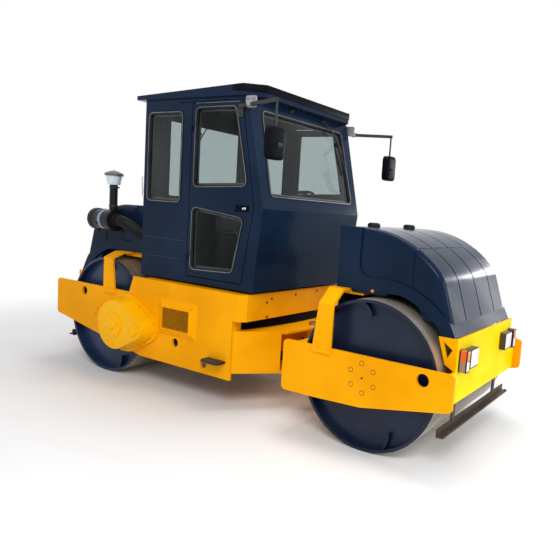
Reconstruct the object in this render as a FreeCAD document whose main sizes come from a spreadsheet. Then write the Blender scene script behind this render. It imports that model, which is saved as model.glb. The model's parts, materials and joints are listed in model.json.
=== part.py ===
import FreeCAD, Part
import math
import os
import Sketcher
from FreeCAD import Rotation, Vector

# Articulated tandem road roller with a closed cab. Millimetres, +X forward, +Y left, +Z up,
# origin on the ground midway between the two drum axles. The front frame carries the front drum
# and its hood, the rear frame the engine, the cab and the rear drum. They meet at one centre link.

doc = FreeCAD.newDocument("road_roller")
sheet = doc.addObject("Spreadsheet::Sheet", "sizes")


class Size:
    """A number together with the spreadsheet expression that gives it."""

    def __init__(self, number, text):
        self.number = float(number)
        self.text = text

    def __add__(self, other):
        return Size(self.number + num(other), f"({self.text} + {txt(other)})")

    def __radd__(self, other):
        return Size(num(other) + self.number, f"({txt(other)} + {self.text})")

    def __sub__(self, other):
        return Size(self.number - num(other), f"({self.text} - {txt(other)})")

    def __rsub__(self, other):
        return Size(num(other) - self.number, f"({txt(other)} - {self.text})")

    def __mul__(self, other):
        return Size(self.number * num(other), f"({self.text} * {txt(other)})")

    def __rmul__(self, other):
        return Size(num(other) * self.number, f"({txt(other)} * {self.text})")

    def __truediv__(self, other):
        return Size(self.number / num(other), f"({self.text} / {txt(other)})")

    def __neg__(self):
        return Size(-self.number, f"(0 - {self.text})")

    def __float__(self):
        return self.number


def num(value):
    return value.number if isinstance(value, Size) else float(value)


def txt(value):
    return value.text if isinstance(value, Size) else repr(float(value))


def root(value):
    return Size(math.sqrt(num(value)), f"sqrt({txt(value)})")


def size(alias, number, note):
    """Adds one named size to the sheet and returns it."""
    size.row += 1
    sheet.set(f"A{size.row}", alias)
    sheet.set(f"B{size.row}", str(number))
    sheet.set(f"C{size.row}", note)
    sheet.setAlias(f"B{size.row}", alias)
    return Size(number, f"sizes.{alias}")


size.row = 0

# ---- sizes that several pieces share ----------------------------------------------------
wheelbase = size("wheelbase", 3160, "between the drum axles")
drum_radius = size("drum_radius", 600, "outer radius of both drums, and the height of their axles")
drum_width = size("drum_width", 1600, "length of a drum along its axle")
side_gap = size("side_gap", 45, "between drum end and side plate")
side_wall = size("side_wall", 25, "thickness of the side plates")
plate_wall = size("plate_wall", 20, "thickness of cross plates and yokes")
rear_deck = size("rear_deck", 1065, "top edge of the rear frame below the cab")
rear_nose = size("rear_nose", 235, "front end of the rear side plates, lower part")
pivot_x = size("pivot_x", 520, "steering pivot ahead of the origin")
pivot_z = size("pivot_z", 540, "height of the oscillation axis")
box_top = size("box_top", 730, "top of the nose of the rear frame")
box_low = size("box_low", 345, "underside of the nose of the rear frame")
ram_z = size("ram_z", 450, "height of the steering cylinders")
ram_y = size("ram_y", 330, "steering cylinder base, off the centre line")
running_play = size("running_play", 0.08, "clearance of a pin or shaft in its bore")
weld_lap = size("weld_lap", 10, "how far joined blocks run into each other")

axle_x = wheelbase / 2
axle_z = drum_radius
plate_in = drum_width / 2 + side_gap
plate_out = plate_in + side_wall


# ---- building helpers -------------------------------------------------------------------
def bind(thing, prop, value):
    """Ties a property to the sheet."""
    thing.setExpression(prop, txt(value))


def place(thing, at=(0, 0, 0), turn=None):
    """Binds a thing's position; turn is an optional fixed rotation."""
    if turn is not None:
        thing.Placement = FreeCAD.Placement(Vector(0, 0, 0), turn)
    for axis, value in zip("xyz", at):
        bind(thing, f".Placement.Base.{axis}", value)
    return thing


TURNS = {
    "z": Rotation(),
    "x": Rotation(Vector(0, 1, 0), 90),
    "y": Rotation(Vector(1, 0, 0), -90),
}


def box(name, low, high):
    """A block between two corners."""
    thing = doc.addObject("Part::Box", name)
    for prop, start, end in zip(("Length", "Width", "Height"), low, high):
        bind(thing, prop, end - start)
    return place(thing, low)


def rod(name, axis, at, radius, length):
    """A cylinder from a point along +x, +y or +z."""
    thing = doc.addObject("Part::Cylinder", name)
    bind(thing, "Radius", radius)
    bind(thing, "Height", length)
    return place(thing, at, TURNS[axis])


def fuse(name, *things):
    thing = doc.addObject("Part::MultiFuse", name)
    thing.Shapes = list(things)
    return thing


def cut(name, base, *tools):
    tool = tools[0] if len(tools) == 1 else fuse(name + "_tool", *tools)
    thing = doc.addObject("Part::Cut", name)
    thing.Base = base
    thing.Tool = tool
    return thing


def common(name, base, tool):
    thing = doc.addObject("Part::Common", name)
    thing.Base = base
    thing.Tool = tool
    return thing


def group(name, *things):
    """Several solids of one node that don't touch."""
    thing = doc.addObject("Part::Compound", name)
    thing.Links = list(things)
    return thing


def mirrored(name, source):
    """The left-hand copy of a right-hand piece."""
    thing = doc.addObject("Part::Mirroring", name)
    thing.Source = source
    thing.Base = Vector(0, 0, 0)
    thing.Normal = Vector(0, 1, 0)
    return thing


def polar(centre, radius, degrees):
    """The point of a circle at an angle."""
    u, v = centre
    angle = math.radians(degrees)
    return (u + radius * math.cos(angle), v + radius * math.sin(angle))


PLANES = {"xy": "XY_Plane", "xz": "XZ_Plane", "yz": "YZ_Plane"}


def new_sketch(body, plane, name):
    sketch = body.newObject("Sketcher::SketchObject", name)
    support = next(f for f in body.Origin.OriginFeatures if f.Role == PLANES[plane])
    sketch.AttachmentSupport = (support, [""])
    sketch.MapMode = "FlatFace"
    return sketch


def hold(sketch, kind, value, *where):
    """One dimension of a sketch, tied to the sheet."""
    index = sketch.addConstraint(Sketcher.Constraint(kind, *where, num(value)))
    if isinstance(value, Size):
        sketch.setExpression(f"Constraints[{index}]", value.text)


def arc_between(start, end, radius):
    """The short arc between two points; a positive radius turns left, a negative one right."""
    chord = end - start
    rise = math.sqrt(radius * radius - chord.Length * chord.Length / 4)
    left = Vector(-chord.y, chord.x, 0).normalize()
    centre = (start + end) / 2 + left * math.copysign(rise, radius)
    first, last = (start, end) if radius > 0 else (end, start)
    angles = [math.atan2(p.y - centre.y, p.x - centre.x) for p in (first, last)]
    if angles[1] < angles[0]:
        angles[1] += 2 * math.pi
    return Part.ArcOfCircle(Part.Circle(centre, Vector(0, 0, 1), abs(radius)), *angles)


def outline(sketch, corners):
    """A closed outline tied to the sheet. A corner is (u, v), or (u, v, radius) where an arc runs
    on to the next corner: a positive radius turns left, a negative one right."""
    spots = [Vector(num(c[0]), num(c[1]), 0) for c in corners]
    total = len(corners)
    ends = []
    for i, corner in enumerate(corners):
        start, end = spots[i], spots[(i + 1) % total]
        radius = num(corner[2]) if len(corner) > 2 else 0.0
        edge = arc_between(start, end, radius) if radius else Part.LineSegment(start, end)
        ends.append((sketch.addGeometry(edge, False), (2, 1) if radius < 0 else (1, 2)))
    for i, corner in enumerate(corners):
        index, (first, last) = ends[i]
        after, (after_first, _) = ends[(i + 1) % total]
        sketch.addConstraint(Sketcher.Constraint("Coincident", index, last, after, after_first))
        hold(sketch, "DistanceX", corner[0], -1, 1, index, first)
        hold(sketch, "DistanceY", corner[1], -1, 1, index, first)
        if len(corner) > 2:
            radius = corner[2] if num(corner[2]) > 0 else -corner[2]
            hold(sketch, "Radius", radius, index)


def circle(sketch, centre, radius):
    u, v = centre
    round_edge = Part.Circle(Vector(num(u), num(v), 0), Vector(0, 0, 1), num(radius))
    index = sketch.addGeometry(round_edge, False)
    hold(sketch, "DistanceX", u, -1, 1, index, 3)
    hold(sketch, "DistanceY", v, -1, 1, index, 3)
    hold(sketch, "Radius", radius, index)


def plate(name, plane, corners, thickness, at=(0, 0, 0), holes=(), circles=(), middle=False):
    """A flat piece: an outline padded by its thickness, with shaped and round holes. On the xz
    plane it grows towards -Y."""
    body = doc.addObject("PartDesign::Body", name)
    sketch = new_sketch(body, plane, name + "_outline")
    outline(sketch, corners)
    for hole in holes:
        outline(sketch, hole)
    for centre, radius in circles:
        circle(sketch, centre, radius)
    pad = body.newObject("PartDesign::Pad", name + "_pad")
    pad.Profile = sketch
    bind(pad, "Length", thickness)
    pad.Midplane = middle
    body.Tip = pad
    return place(body, at)


def edges_at(shape, spots, reach=0.5):
    """Names of the open edges that pass through the given spots."""
    names = []
    for i, edge in enumerate(shape.Edges, 1):
        near = (edge.distToShape(Part.Vertex(spot))[0] < reach for spot in spots)
        if len(edge.Vertexes) == 2 and any(near):
            names.append(f"Edge{i}")
    return names


def rounded(body, spots, radius):
    """Rounds the edges of a body that pass through spots given in the body's own frame."""
    doc.recompute()
    tip = body.Tip
    names = edges_at(tip.Shape, [Vector(*[num(c) for c in spot]) for spot in spots])
    if len(names) != len(spots):
        raise RuntimeError(f"{body.Name}: {len(names)} edges found for {len(spots)} spots")
    fillet = body.newObject("PartDesign::Fillet", f"{body.Name}_round{len(body.Group)}")
    fillet.Base = (tip, names)
    bind(fillet, "Radius", radius)
    body.Tip = fillet
    return body


def turned(name, section, at=(0, 0, 0), plane="xy"):
    """A ring or shaft turned about the sketch's upright axis, which is Y on the xy plane and Z on
    the xz plane: the section's points are (radius, distance along the axis)."""
    body = doc.addObject("PartDesign::Body", name)
    sketch = new_sketch(body, plane, name + "_section")
    outline(sketch, section)
    turn = body.newObject("PartDesign::Revolution", name + "_turn")
    turn.Profile = sketch
    turn.ReferenceAxis = (sketch, ["V_Axis"])
    turn.Angle = 360
    body.Tip = turn
    return place(body, at)


def lofted(name, plane, sections, at=(0, 0, 0)):
    """A ruled body through outlines, each given with its distance from the plane."""
    body = doc.addObject("PartDesign::Body", name)
    sketches = []
    for i, (corners, away) in enumerate(sections):
        sketch = new_sketch(body, plane, f"{name}_section{i}")
        bind(sketch, ".AttachmentOffset.Base.z", away)
        outline(sketch, corners)
        sketches.append(sketch)
    loft = body.newObject("PartDesign::AdditiveLoft", name + "_loft")
    loft.Profile = sketches[0]
    loft.Sections = sketches[1:]
    loft.Ruled = True
    body.Tip = loft
    return place(body, at)


nodes = []


def node(thing, name=None):
    """Names a finished piece; its label becomes the name of its file."""
    thing.Label = name or thing.Name
    nodes.append(thing)
    return thing


# ---- drums ------------------------------------------------------------------------------
drum_wall = size("drum_wall", 24, "thickness of the rolled drum shell")
drum_recess = size("drum_recess", 70, "depth of the end disc inside the rim")
drum_disc = size("drum_disc", 30, "thickness of the end disc")
lug_deep = size("lug_deep", 45, "how far the lugs stand out from the end disc")
lug_reach = size("lug_reach", 110, "how far a lug reaches in from the rim")
lug_bend = size("lug_bend", 160, "radius of a lug's sides")
shaft_radius = size("shaft_radius", 90, "stub shaft that carries a drum")
flange_radius = size("flange_radius", 165, "carrier flange on the side plate")
flange_wall = size("flange_wall", 20, "thickness of the carrier flange")

rim_in = drum_radius - drum_wall
rim_out = drum_width / 2
disc_out = rim_out - drum_recess
disc_in = disc_out - drum_disc
bore = shaft_radius + running_play
LUG_WIDE = 2.6  # degrees of the rim that a lug covers
LUGS = ((102, 93), (-73, -62))  # angle at the rim, angle at the inner end


def drum(name, x):
    """Open-ended steel drum: a rolled shell with two end discs, and curved lugs on the discs."""
    section = [
        (rim_in, rim_out), (drum_radius, rim_out), (drum_radius, -rim_out), (rim_in, -rim_out),
        (rim_in, -disc_out), (bore, -disc_out), (bore, -disc_in), (rim_in, -disc_in),
        (rim_in, disc_in), (bore, disc_in), (bore, disc_out), (rim_in, disc_out),
    ]
    pieces = [turned(name + "_shell", section, (x, 0, axle_z))]
    for i, (at_rim, at_end) in enumerate(LUGS):
        bend = lug_bend if at_end > at_rim else -lug_bend
        start = polar((0, 0), rim_in + weld_lap, at_rim - LUG_WIDE)
        inner = polar((0, 0), rim_in - lug_reach, at_end - LUG_WIDE)
        outer = polar((0, 0), rim_in - lug_reach, at_end)
        end = polar((0, 0), rim_in + weld_lap, at_rim)
        corners = [(*start, bend), inner, (*outer, -bend), end]
        lug = plate(f"{name}_lug_{i}", "xz", corners, lug_deep + weld_lap, (x, weld_lap - disc_out, axle_z))
        pieces += [lug, mirrored(f"{name}_lug_{i}_left", lug)]
    return node(fuse(name, *pieces))


drum("front_drum", axle_x)
drum("rear_drum", -axle_x)


def carriers(name, x):
    """The pair of flanged stubs on which a drum runs."""
    stub_end = disc_in - drum_disc
    section = [
        (0, stub_end), (shaft_radius, stub_end), (shaft_radius, plate_in - flange_wall),
        (flange_radius, plate_in - flange_wall), (flange_radius, plate_in), (0, plate_in),
    ]
    left = turned(name + "_left", section, (x, 0, axle_z))
    return node(group(name, left, mirrored(name + "_right", left)))


carriers("front_drum_carriers", axle_x)
carriers("rear_drum_carriers", -axle_x)

# ---- side plates ------------------------------------------------------------------------
front_reach = size("front_reach", 740, "front side plates, ahead of the front axle")
front_back = size("front_back", 765, "front side plates, behind the front axle")
front_top = size("front_top", 775, "top edge of the front side plates")
front_low = size("front_low", 350, "their lower edge at the pivot")
front_low_run = size("front_low_run", 265, "length of that level lower edge")
front_mid_low = size("front_mid_low", 368, "their lower edge below the axle")
front_tip_low = size("front_tip_low", 500, "their lower edge at the front end")
tie_hole = size("tie_hole", 50, "round hole near the front end")
tie_hole_x = size("tie_hole_x", 500, "its place ahead of the axle")
tie_hole_z = size("tie_hole_z", 690, "its height")
rear_reach = size("rear_reach", 770, "rear side plates, behind the rear axle")
rear_top = size("rear_top", 900, "their top edge beside the drum")
rear_tip_low = size("rear_tip_low", 520, "their lower edge at the rear end")
rear_tip_run = size("rear_tip_run", 160, "length of that end")
rear_tip_drop = size("rear_tip_drop", 25, "how far that end slopes")
rear_step = size("rear_step", 1090, "where the top edge steps up, behind the origin")
rear_step_run = size("rear_step_run", 60, "length of the slanted step")
belly_low = size("belly_low", 285, "lower edge of the rear side plates below the cab")
belly_rear = size("belly_rear", 950, "where that edge begins, behind the origin")
lift_hole = size("lift_hole", 45, "round hole near the rear end")
lift_hole_x = size("lift_hole_x", 290, "its place behind the axle")
lift_hole_z = size("lift_hole_z", 820, "its height")
service_hole = size("service_hole", 42, "round holes below the grille")
service_hole_x = size("service_hole_x", 471, "place of the upper one behind the origin")
service_hole_z = size("service_hole_z", 504, "height of the upper one")
step_hole_x = size("step_hole_x", 92, "place of the lower one behind the origin")
step_hole_z = size("step_hole_z", 376, "height of the lower one")
bearing_cap = size("bearing_cap", 110, "radius of the bearing cap on a rear side plate")
cap_wall = size("cap_wall", 12, "how far that cap stands out")
apron_nose = size("apron_nose", 300, "front end of the rear side plates below the deck")
apron_low = size("apron_low", 825, "underside of the deck apron")
corner_round = size("corner_round", 35, "rounding of the side plates' corners")

front_heel = axle_x - front_back
front_outline = [
    (front_heel, front_low), (front_heel + front_low_run, front_low), (axle_x, front_mid_low),
    (axle_x + front_reach, front_tip_low), (axle_x + front_reach, front_top), (front_heel, front_top),
]
rear_end = -axle_x - rear_reach
rear_outline = [
    (rear_end, rear_tip_low), (rear_end + rear_tip_run, rear_tip_low - rear_tip_drop),
    (-belly_rear, belly_low), (rear_nose, belly_low), (rear_nose, apron_low), (apron_nose, apron_low),
    (apron_nose, rear_deck), (-rear_step, rear_deck), (-rear_step - rear_step_run, rear_top),
    (rear_end, rear_top),
]
rear_holes = [
    ((-axle_x - lift_hole_x, lift_hole_z), lift_hole),
    ((-service_hole_x, service_hole_z), service_hole),
    ((-step_hole_x, step_hole_z), service_hole),
]


def side_plate(name, corners, circles, rounds):
    """A right-hand side plate, with some of its corners rounded."""
    body = plate(name, "xz", corners, side_wall, (0, -plate_in, 0), (), circles)
    return rounded(body, [(corners[i][0], -side_wall / 2, corners[i][1]) for i in rounds], corner_round)


front_hole = ((axle_x + tie_hole_x, tie_hole_z), tie_hole)
right = side_plate("front_right_side_plate", front_outline, [front_hole], (0, 3, 4, 5))
node(right)
node(mirrored("front_left_side_plate", right))
right = fuse(
    "rear_right_side_plate",
    side_plate("rear_plate_sheet", rear_outline, rear_holes, (0, 9)),
    rod("rear_bearing_cap", "y", (-axle_x, -plate_out - cap_wall, axle_z), bearing_cap,
        cap_wall + weld_lap),
)
node(right)
node(mirrored("rear_left_side_plate", right))

# ---- front frame ------------------------------------------------------------------------
hub_radius = size("hub_radius", 130, "oscillation bearing housing")
hub_reach = size("hub_reach", 40, "how far the housing stands out behind the crossmember")
trunnion = size("trunnion", 85, "radius of the oscillation shaft")
beam_inset = size("beam_inset", 35, "from the heel of the side plates to the crossmember")
beam_deep = size("beam_deep", 95, "depth of the front crossmember")
beam_top = size("beam_top", 740, "top of the front crossmember")
beam_low = size("beam_low", 375, "underside of the front crossmember")

beam_rear = front_heel + beam_inset
beam_front = beam_rear + beam_deep
hub_long = beam_deep + hub_reach
node(cut(
    "front_crossmember",
    fuse(
        "crossmember_body",
        box("crossmember_box", (beam_rear, -plate_in, beam_low), (beam_front, plate_in, beam_top)),
        rod("crossmember_hub", "x", (beam_rear - hub_reach, 0, pivot_z), hub_radius, hub_long),
    ),
    rod("crossmember_bore", "x", (beam_rear - 2 * hub_reach, 0, pivot_z), trunnion + running_play,
        hub_long + 2 * hub_reach),
))

panel_reach = size("panel_reach", 650, "rear face of an end panel, from the axle")
panel_half = size("panel_half", 680, "half width of a panel's upper part")
panel_top = size("panel_top", 990, "top edge of the end panels")
panel_low = size("panel_low", 500, "their lower edge")
panel_neck = size("panel_neck", 745, "height where a panel narrows")
return_gap = size("return_gap", 20, "how far the panels' side returns reach in past the drum's front")
return_top_gap = size("return_top_gap", 85, "how far their upper corners reach in past it")
return_low = size("return_low", 790, "lower rear corner of a return")
return_rim = size("return_rim", 28, "rim round the three-cornered opening of a return")
return_long = panel_reach + weld_lap - drum_radius + return_gap
return_top = panel_reach + weld_lap - drum_radius + return_top_gap


def end_panel(name, mirror):
    """T-shaped end panel between two side plates, with a bent return at each side."""
    corners = [
        (-plate_in, panel_low), (plate_in, panel_low), (plate_in, panel_neck), (panel_half, panel_neck),
        (panel_half, panel_top), (-panel_half, panel_top), (-panel_half, panel_neck),
        (-plate_in, panel_neck),
    ]
    x = axle_x + panel_reach
    face = plate(name + "_face", "yz", corners, plate_wall, (x if mirror > 0 else -x - plate_wall, 0, 0))

    def spot(back, z):
        return ((x + weld_lap - back) * mirror, z)

    wing = [
        spot(0, panel_top), spot(return_top, panel_top), spot(return_long, return_low), spot(0, panel_neck),
    ]
    opening = [
        spot(return_rim, panel_top - 3 * return_rim),
        spot(return_top - 1.4 * return_rim, panel_top - return_rim),
        spot(return_long - return_rim / 2, return_low + 1.5 * return_rim),
    ]
    if mirror < 0:
        wing.reverse()
        opening.reverse()
    right_wing = plate(name + "_wing", "xz", wing, plate_wall, (0, plate_wall - panel_half, 0), (opening,))
    return node(fuse(name, face, right_wing, mirrored(name + "_wing_left", right_wing)))


end_panel("front_panel", 1)
end_panel("rear_panel", -1)

# ---- yokes over the drums ---------------------------------------------------------------
strap_foot = size("strap_foot", 180, "width of a yoke's leg at its foot")
strap_taper = size("strap_taper", 45, "how much narrower the leg is at its bend")
yoke_lean = size("yoke_lean", 130, "how far the legs lean in above the bend")
yoke_lap = size("yoke_lap", 45, "overlap of a leg on its side plate")
front_yoke_x = size("front_yoke_x", 470, "rear edge of the front yoke, behind its axle")
front_bend = size("front_bend", 1125, "height of the front yoke's bend")
rear_yoke_x = size("rear_yoke_x", 50, "rear edge of the rear yoke, ahead of its axle")
rear_bend = size("rear_bend", 1215, "height of the rear yoke's bend")
bridge_half = size("bridge_half", 630, "half width of the beams that carry the hoods")
front_bridge = size("front_bridge", 110, "how far the front beam runs on over its drum")
rear_bridge = size("rear_bridge", 200, "how far the rear beam runs on towards the cab")
bridge_deep = size("bridge_deep", 50, "height of those beams")
hood_gap = size("hood_gap", 45, "from the front drum's top to the flat underside of its hood")
rear_hood_gap = size("rear_hood_gap", 75, "from the rear drum's top to the flat underside of its hood")
hood_low = 2 * drum_radius + hood_gap
rear_hood_low = 2 * drum_radius + rear_hood_gap


def yoke(name, x, foot, bend, yoke_top, taper_rear, bridge):
    """Bent strap that spans a drum from side plate to side plate, with a beam under the hood."""
    out = plate_out + plate_wall
    slope = plate_wall * math.tan(math.radians(22.5))
    section = [
        (out, foot), (out, bend), (out - yoke_lean, yoke_top), (yoke_lean - out, yoke_top), (-out, bend),
        (-out, foot), (-plate_out, foot), (-plate_out, bend - slope),
        (yoke_lean - plate_out, yoke_top - plate_wall), (plate_out - yoke_lean, yoke_top - plate_wall),
        (plate_out, bend - slope), (plate_out, foot),
    ]
    foot_end = x + strap_foot
    rear_bend_x, front_bend_x = (x + strap_taper, foot_end) if taper_rear else (x, foot_end - strap_taper)
    side = [
        (x, foot), (foot_end, foot), (front_bend_x, bend), (front_bend_x, yoke_top),
        (rear_bend_x, yoke_top), (rear_bend_x, bend),
    ]
    strap = common(
        name + "_strap",
        plate(name + "_section", "yz", section, strap_foot, (x, 0, 0)),
        plate(name + "_side", "xz", side, 2 * out, (0, 0, 0), (), (), True),
    )
    beam = box(name + "_beam", (rear_bend_x, -bridge_half, yoke_top - bridge_deep),
               (front_bend_x + bridge, bridge_half, yoke_top))
    return node(fuse(name, strap, beam))


yoke("front_yoke", axle_x - front_yoke_x, front_top - yoke_lap, front_bend, hood_low, True, front_bridge)
yoke("rear_yoke", rear_yoke_x - axle_x, rear_top - yoke_lap, rear_bend, rear_hood_low, False, rear_bridge)

# ---- rear frame -------------------------------------------------------------------------
wall_rear = size("wall_rear", 945, "cross wall ahead of the rear drum, behind the origin")
wall_low = size("wall_low", 330, "underside of that wall")
ram_base = size("ram_base", 40, "steering cylinder base, behind the origin")
tube_gap = size("tube_gap", 60, "from the base pins to the frame's cross tube")
tube_deep = size("tube_deep", 60, "length of the cross tube's section")
tube_high = size("tube_high", 150, "height of the cross tube")
window_half = size("window_half", 120, "half width of the openings that the cylinders pass")
window_shift = size("window_shift", 20, "how far those openings sit inside the cylinders")
window_high = size("window_high", 150, "height of those openings")
eye_thick = size("eye_thick", 50, "thickness of the rod eyes")
eye_gap = size("eye_gap", 6, "between an eye and the plates on both sides of it")
arm_thick = size("arm_thick", 25, "thickness of those plates")
ear_half = size("ear_half", 50, "half width of the ears of a base pin")
ear_reach = size("ear_reach", 45, "how far the ears reach past the base pin")
ram_pin = size("ram_pin", 18, "pins of the steering cylinders")
pin_end = size("pin_end", 8, "how far a pin stands out of its plates")
eye_low = ram_z - eye_thick / 2 - eye_gap
eye_high = ram_z + eye_thick / 2 + eye_gap

windows = [
    box(f"nose_window_{side}", (rear_nose - 2 * plate_wall, y - window_half, ram_z - window_high / 2),
        (rear_nose + plate_wall, y + window_half, ram_z + window_high / 2))
    for side, y in (("right", window_shift - ram_y), ("left", ram_y - window_shift))
]
nose_wall = box("nose_wall_sheet", (rear_nose - plate_wall, -plate_in, box_low),
                (rear_nose, plate_in, rear_deck - plate_wall))
frame_parts = [
    cut("nose_wall", nose_wall, *windows),
    box("rear_wall_sheet", (-wall_rear, -plate_in, wall_low),
        (plate_wall - wall_rear, plate_in, rear_deck)),
    box("deck_sheet", (-wall_rear, -plate_in, rear_deck - plate_wall), (apron_nose, plate_in, rear_deck)),
    box("cross_tube", (-ram_base - tube_gap - tube_deep, -plate_in, ram_z - tube_high / 2),
        (-ram_base - tube_gap, plate_in, ram_z + tube_high / 2)),
]
for side, y in (("right", -ram_y), ("left", ram_y)):
    for level, low in (("top", eye_high), ("low", eye_low - arm_thick)):
        frame_parts.append(box(f"ear_{side}_{level}", (-ram_base - tube_gap - weld_lap, y - ear_half, low),
                               (ear_reach - ram_base, y + ear_half, low + arm_thick)))
    frame_parts.append(rod(f"base_pin_{side}", "z", (-ram_base, y, eye_low - arm_thick - pin_end), ram_pin,
                           eye_high - eye_low + 2 * (arm_thick + pin_end)))
node(fuse("rear_frame_box", *frame_parts))

apron_face = size("apron_face", 345, "front face of the deck apron")
apron_bevel = size("apron_bevel", 65, "how far the apron's corners are bevelled")
bevel_wall = size("bevel_wall", 10, "extra thickness along the bevel")
apron_back = apron_face - plate_wall
apron_outline = [
    (apron_nose, -plate_out), (apron_face, apron_bevel - plate_out), (apron_face, plate_out - apron_bevel),
    (apron_nose, plate_out), (apron_nose, plate_in - bevel_wall),
    (apron_back, plate_out - apron_bevel - bevel_wall),
    (apron_back, apron_bevel + bevel_wall - plate_out), (apron_nose, bevel_wall - plate_in),
]
node(fuse(
    "deck_apron",
    plate("apron_sheet", "xy", apron_outline, rear_deck - apron_low, (0, 0, apron_low)),
    box("apron_shelf", (apron_nose, bevel_wall - plate_in + apron_bevel, rear_deck - plate_wall),
        (apron_face - weld_lap, plate_in - apron_bevel - bevel_wall, rear_deck)),
))

bay_reach = size("bay_reach", 90, "how far the dark cover over the nose bulges out")
bay_half = size("bay_half", 750, "half width of that cover")
bay_round = (bay_half * bay_half + bay_reach * bay_reach) / (2 * bay_reach)
bay_outline = [(rear_nose, bay_half), (rear_nose, -bay_half, bay_round)]
node(plate("hinge_cover", "xy", bay_outline, apron_low - box_top, (0, 0, box_top)))

# ---- centre joint -----------------------------------------------------------------------
pin_radius = size("pin_radius", 40, "steering pin")
pin_collar = size("pin_collar", 18, "how much wider the pin's head and foot are")
collar_wall = size("collar_wall", 25, "height of that head and foot")
nose_round = size("nose_round", 130, "rounding of the hinge plates about the pin")
nose_tip_x = size("nose_tip_x", 560, "front corners of the hinge plates")
nose_tip_y = size("nose_tip_y", 480, "those corners, off the centre line")
cheek_end_x = size("cheek_end_x", 525, "front end of the nose's side walls")
cheek_end_y = size("cheek_end_y", 525, "that end, off the centre line")
cheek_lap = size("cheek_lap", 32, "thickness of those walls along the frame")
link_gap = size("link_gap", 7, "between link and hinge plates")

hinge_outline = [
    (rear_nose, -plate_in), (nose_tip_x, -nose_tip_y), (*polar((pivot_x, 0), nose_round, -60), nose_round),
    polar((pivot_x, 0), nose_round, 60), (nose_tip_x, nose_tip_y), (rear_nose, plate_in),
]
cheek_outline = [
    (rear_nose, -plate_in), (cheek_end_x, -cheek_end_y),
    (cheek_end_x - cheek_lap / 2, cheek_lap / 2 - cheek_end_y),
    (rear_nose, cheek_lap - plate_in),
]
pin_spot = [((pivot_x, 0), pin_radius)]
cheek_high = box_top - box_low - 2 * plate_wall
cheek = plate("nose_cheek", "xy", cheek_outline, cheek_high, (0, 0, box_low + plate_wall))
node(fuse(
    "hinge_nose",
    plate("hinge_plate_top", "xy", hinge_outline, plate_wall, (0, 0, box_top - plate_wall), (), pin_spot),
    plate("hinge_plate_low", "xy", hinge_outline, plate_wall, (0, 0, box_low), (), pin_spot),
    cheek,
    mirrored("nose_cheek_left", cheek),
))
pin_section = [
    (0, box_low - collar_wall), (pin_radius + pin_collar, box_low - collar_wall),
    (pin_radius + pin_collar, box_low),
    (pin_radius, box_low), (pin_radius, box_top), (pin_radius + pin_collar, box_top),
    (pin_radius + pin_collar, box_top + collar_wall), (0, box_top + collar_wall),
]
node(turned("steering_pin", pin_section, (pivot_x, 0, 0), "xz"))

ram_eye_x = size("ram_eye_x", 180, "rod eye ahead of the steering pivot")
ram_eye_y = size("ram_eye_y", 300, "rod eye off the centre line")
link_radius = size("link_radius", 80, "vertical boss of the centre link")
neck_half = size("neck_half", 65, "half width of the link's neck")
neck_inset = size("neck_inset", 30, "from the ends of the boss to the neck")
arm_rear = size("arm_rear", 138, "rear edge of the link's arms ahead of the pivot")
arm_front = size("arm_front", 275, "front face of the link's arms ahead of the pivot")
arm_past = size("arm_past", 50, "how far the arms reach past the rod eyes")
link_low = box_low + plate_wall + link_gap
link_high = box_top - plate_wall - link_gap
arm_half = ram_eye_y + arm_past
arm_low = eye_low - arm_thick
arm_high = eye_high + arm_thick
link_front = pivot_x + arm_front
node(cut(
    "centre_link",
    fuse(
        "link_solid",
        rod("link_boss", "z", (pivot_x, 0, link_low), link_radius, link_high - link_low),
        box("link_neck", (pivot_x, -neck_half, link_low + neck_inset),
            (link_front, neck_half, link_high - neck_inset)),
        box("link_arm_top", (pivot_x + arm_rear, -arm_half, eye_high), (link_front, arm_half, arm_high)),
        box("link_arm_low", (pivot_x + arm_rear, -arm_half, arm_low), (link_front, arm_half, eye_low)),
        box("link_arm_web", (link_front - arm_thick, -arm_half, arm_low), (link_front, arm_half, arm_high)),
        rod("link_shaft", "x", (link_front - weld_lap, 0, pivot_z), trunnion,
            beam_front - link_front + 3 * weld_lap),
    ),
    rod("link_bore", "z", (pivot_x, 0, link_low - weld_lap), pin_radius + running_play,
        link_high - link_low + 2 * weld_lap),
))

barrel_radius = size("barrel_radius", 45, "steering cylinder barrel")
barrel_long = size("barrel_long", 470, "from the base pin to the gland")
barrel_start = size("barrel_start", 62, "from the base pin to the barrel's tube")
barrel_floor = size("barrel_floor", 55, "solid bottom of the barrel's tube")
ram_rod = size("ram_rod", 22, "steering cylinder rod")
rod_hidden = size("rod_hidden", 180, "length of rod inside the barrel at rest")
eye_radius = size("eye_radius", 36, "eyes of the steering cylinders")
neck_side = size("neck_side", 40, "width of the bars that carry the eyes")
ram_reach = pivot_x + ram_eye_x + ram_base
ram_aside = ram_y - ram_eye_y


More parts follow.
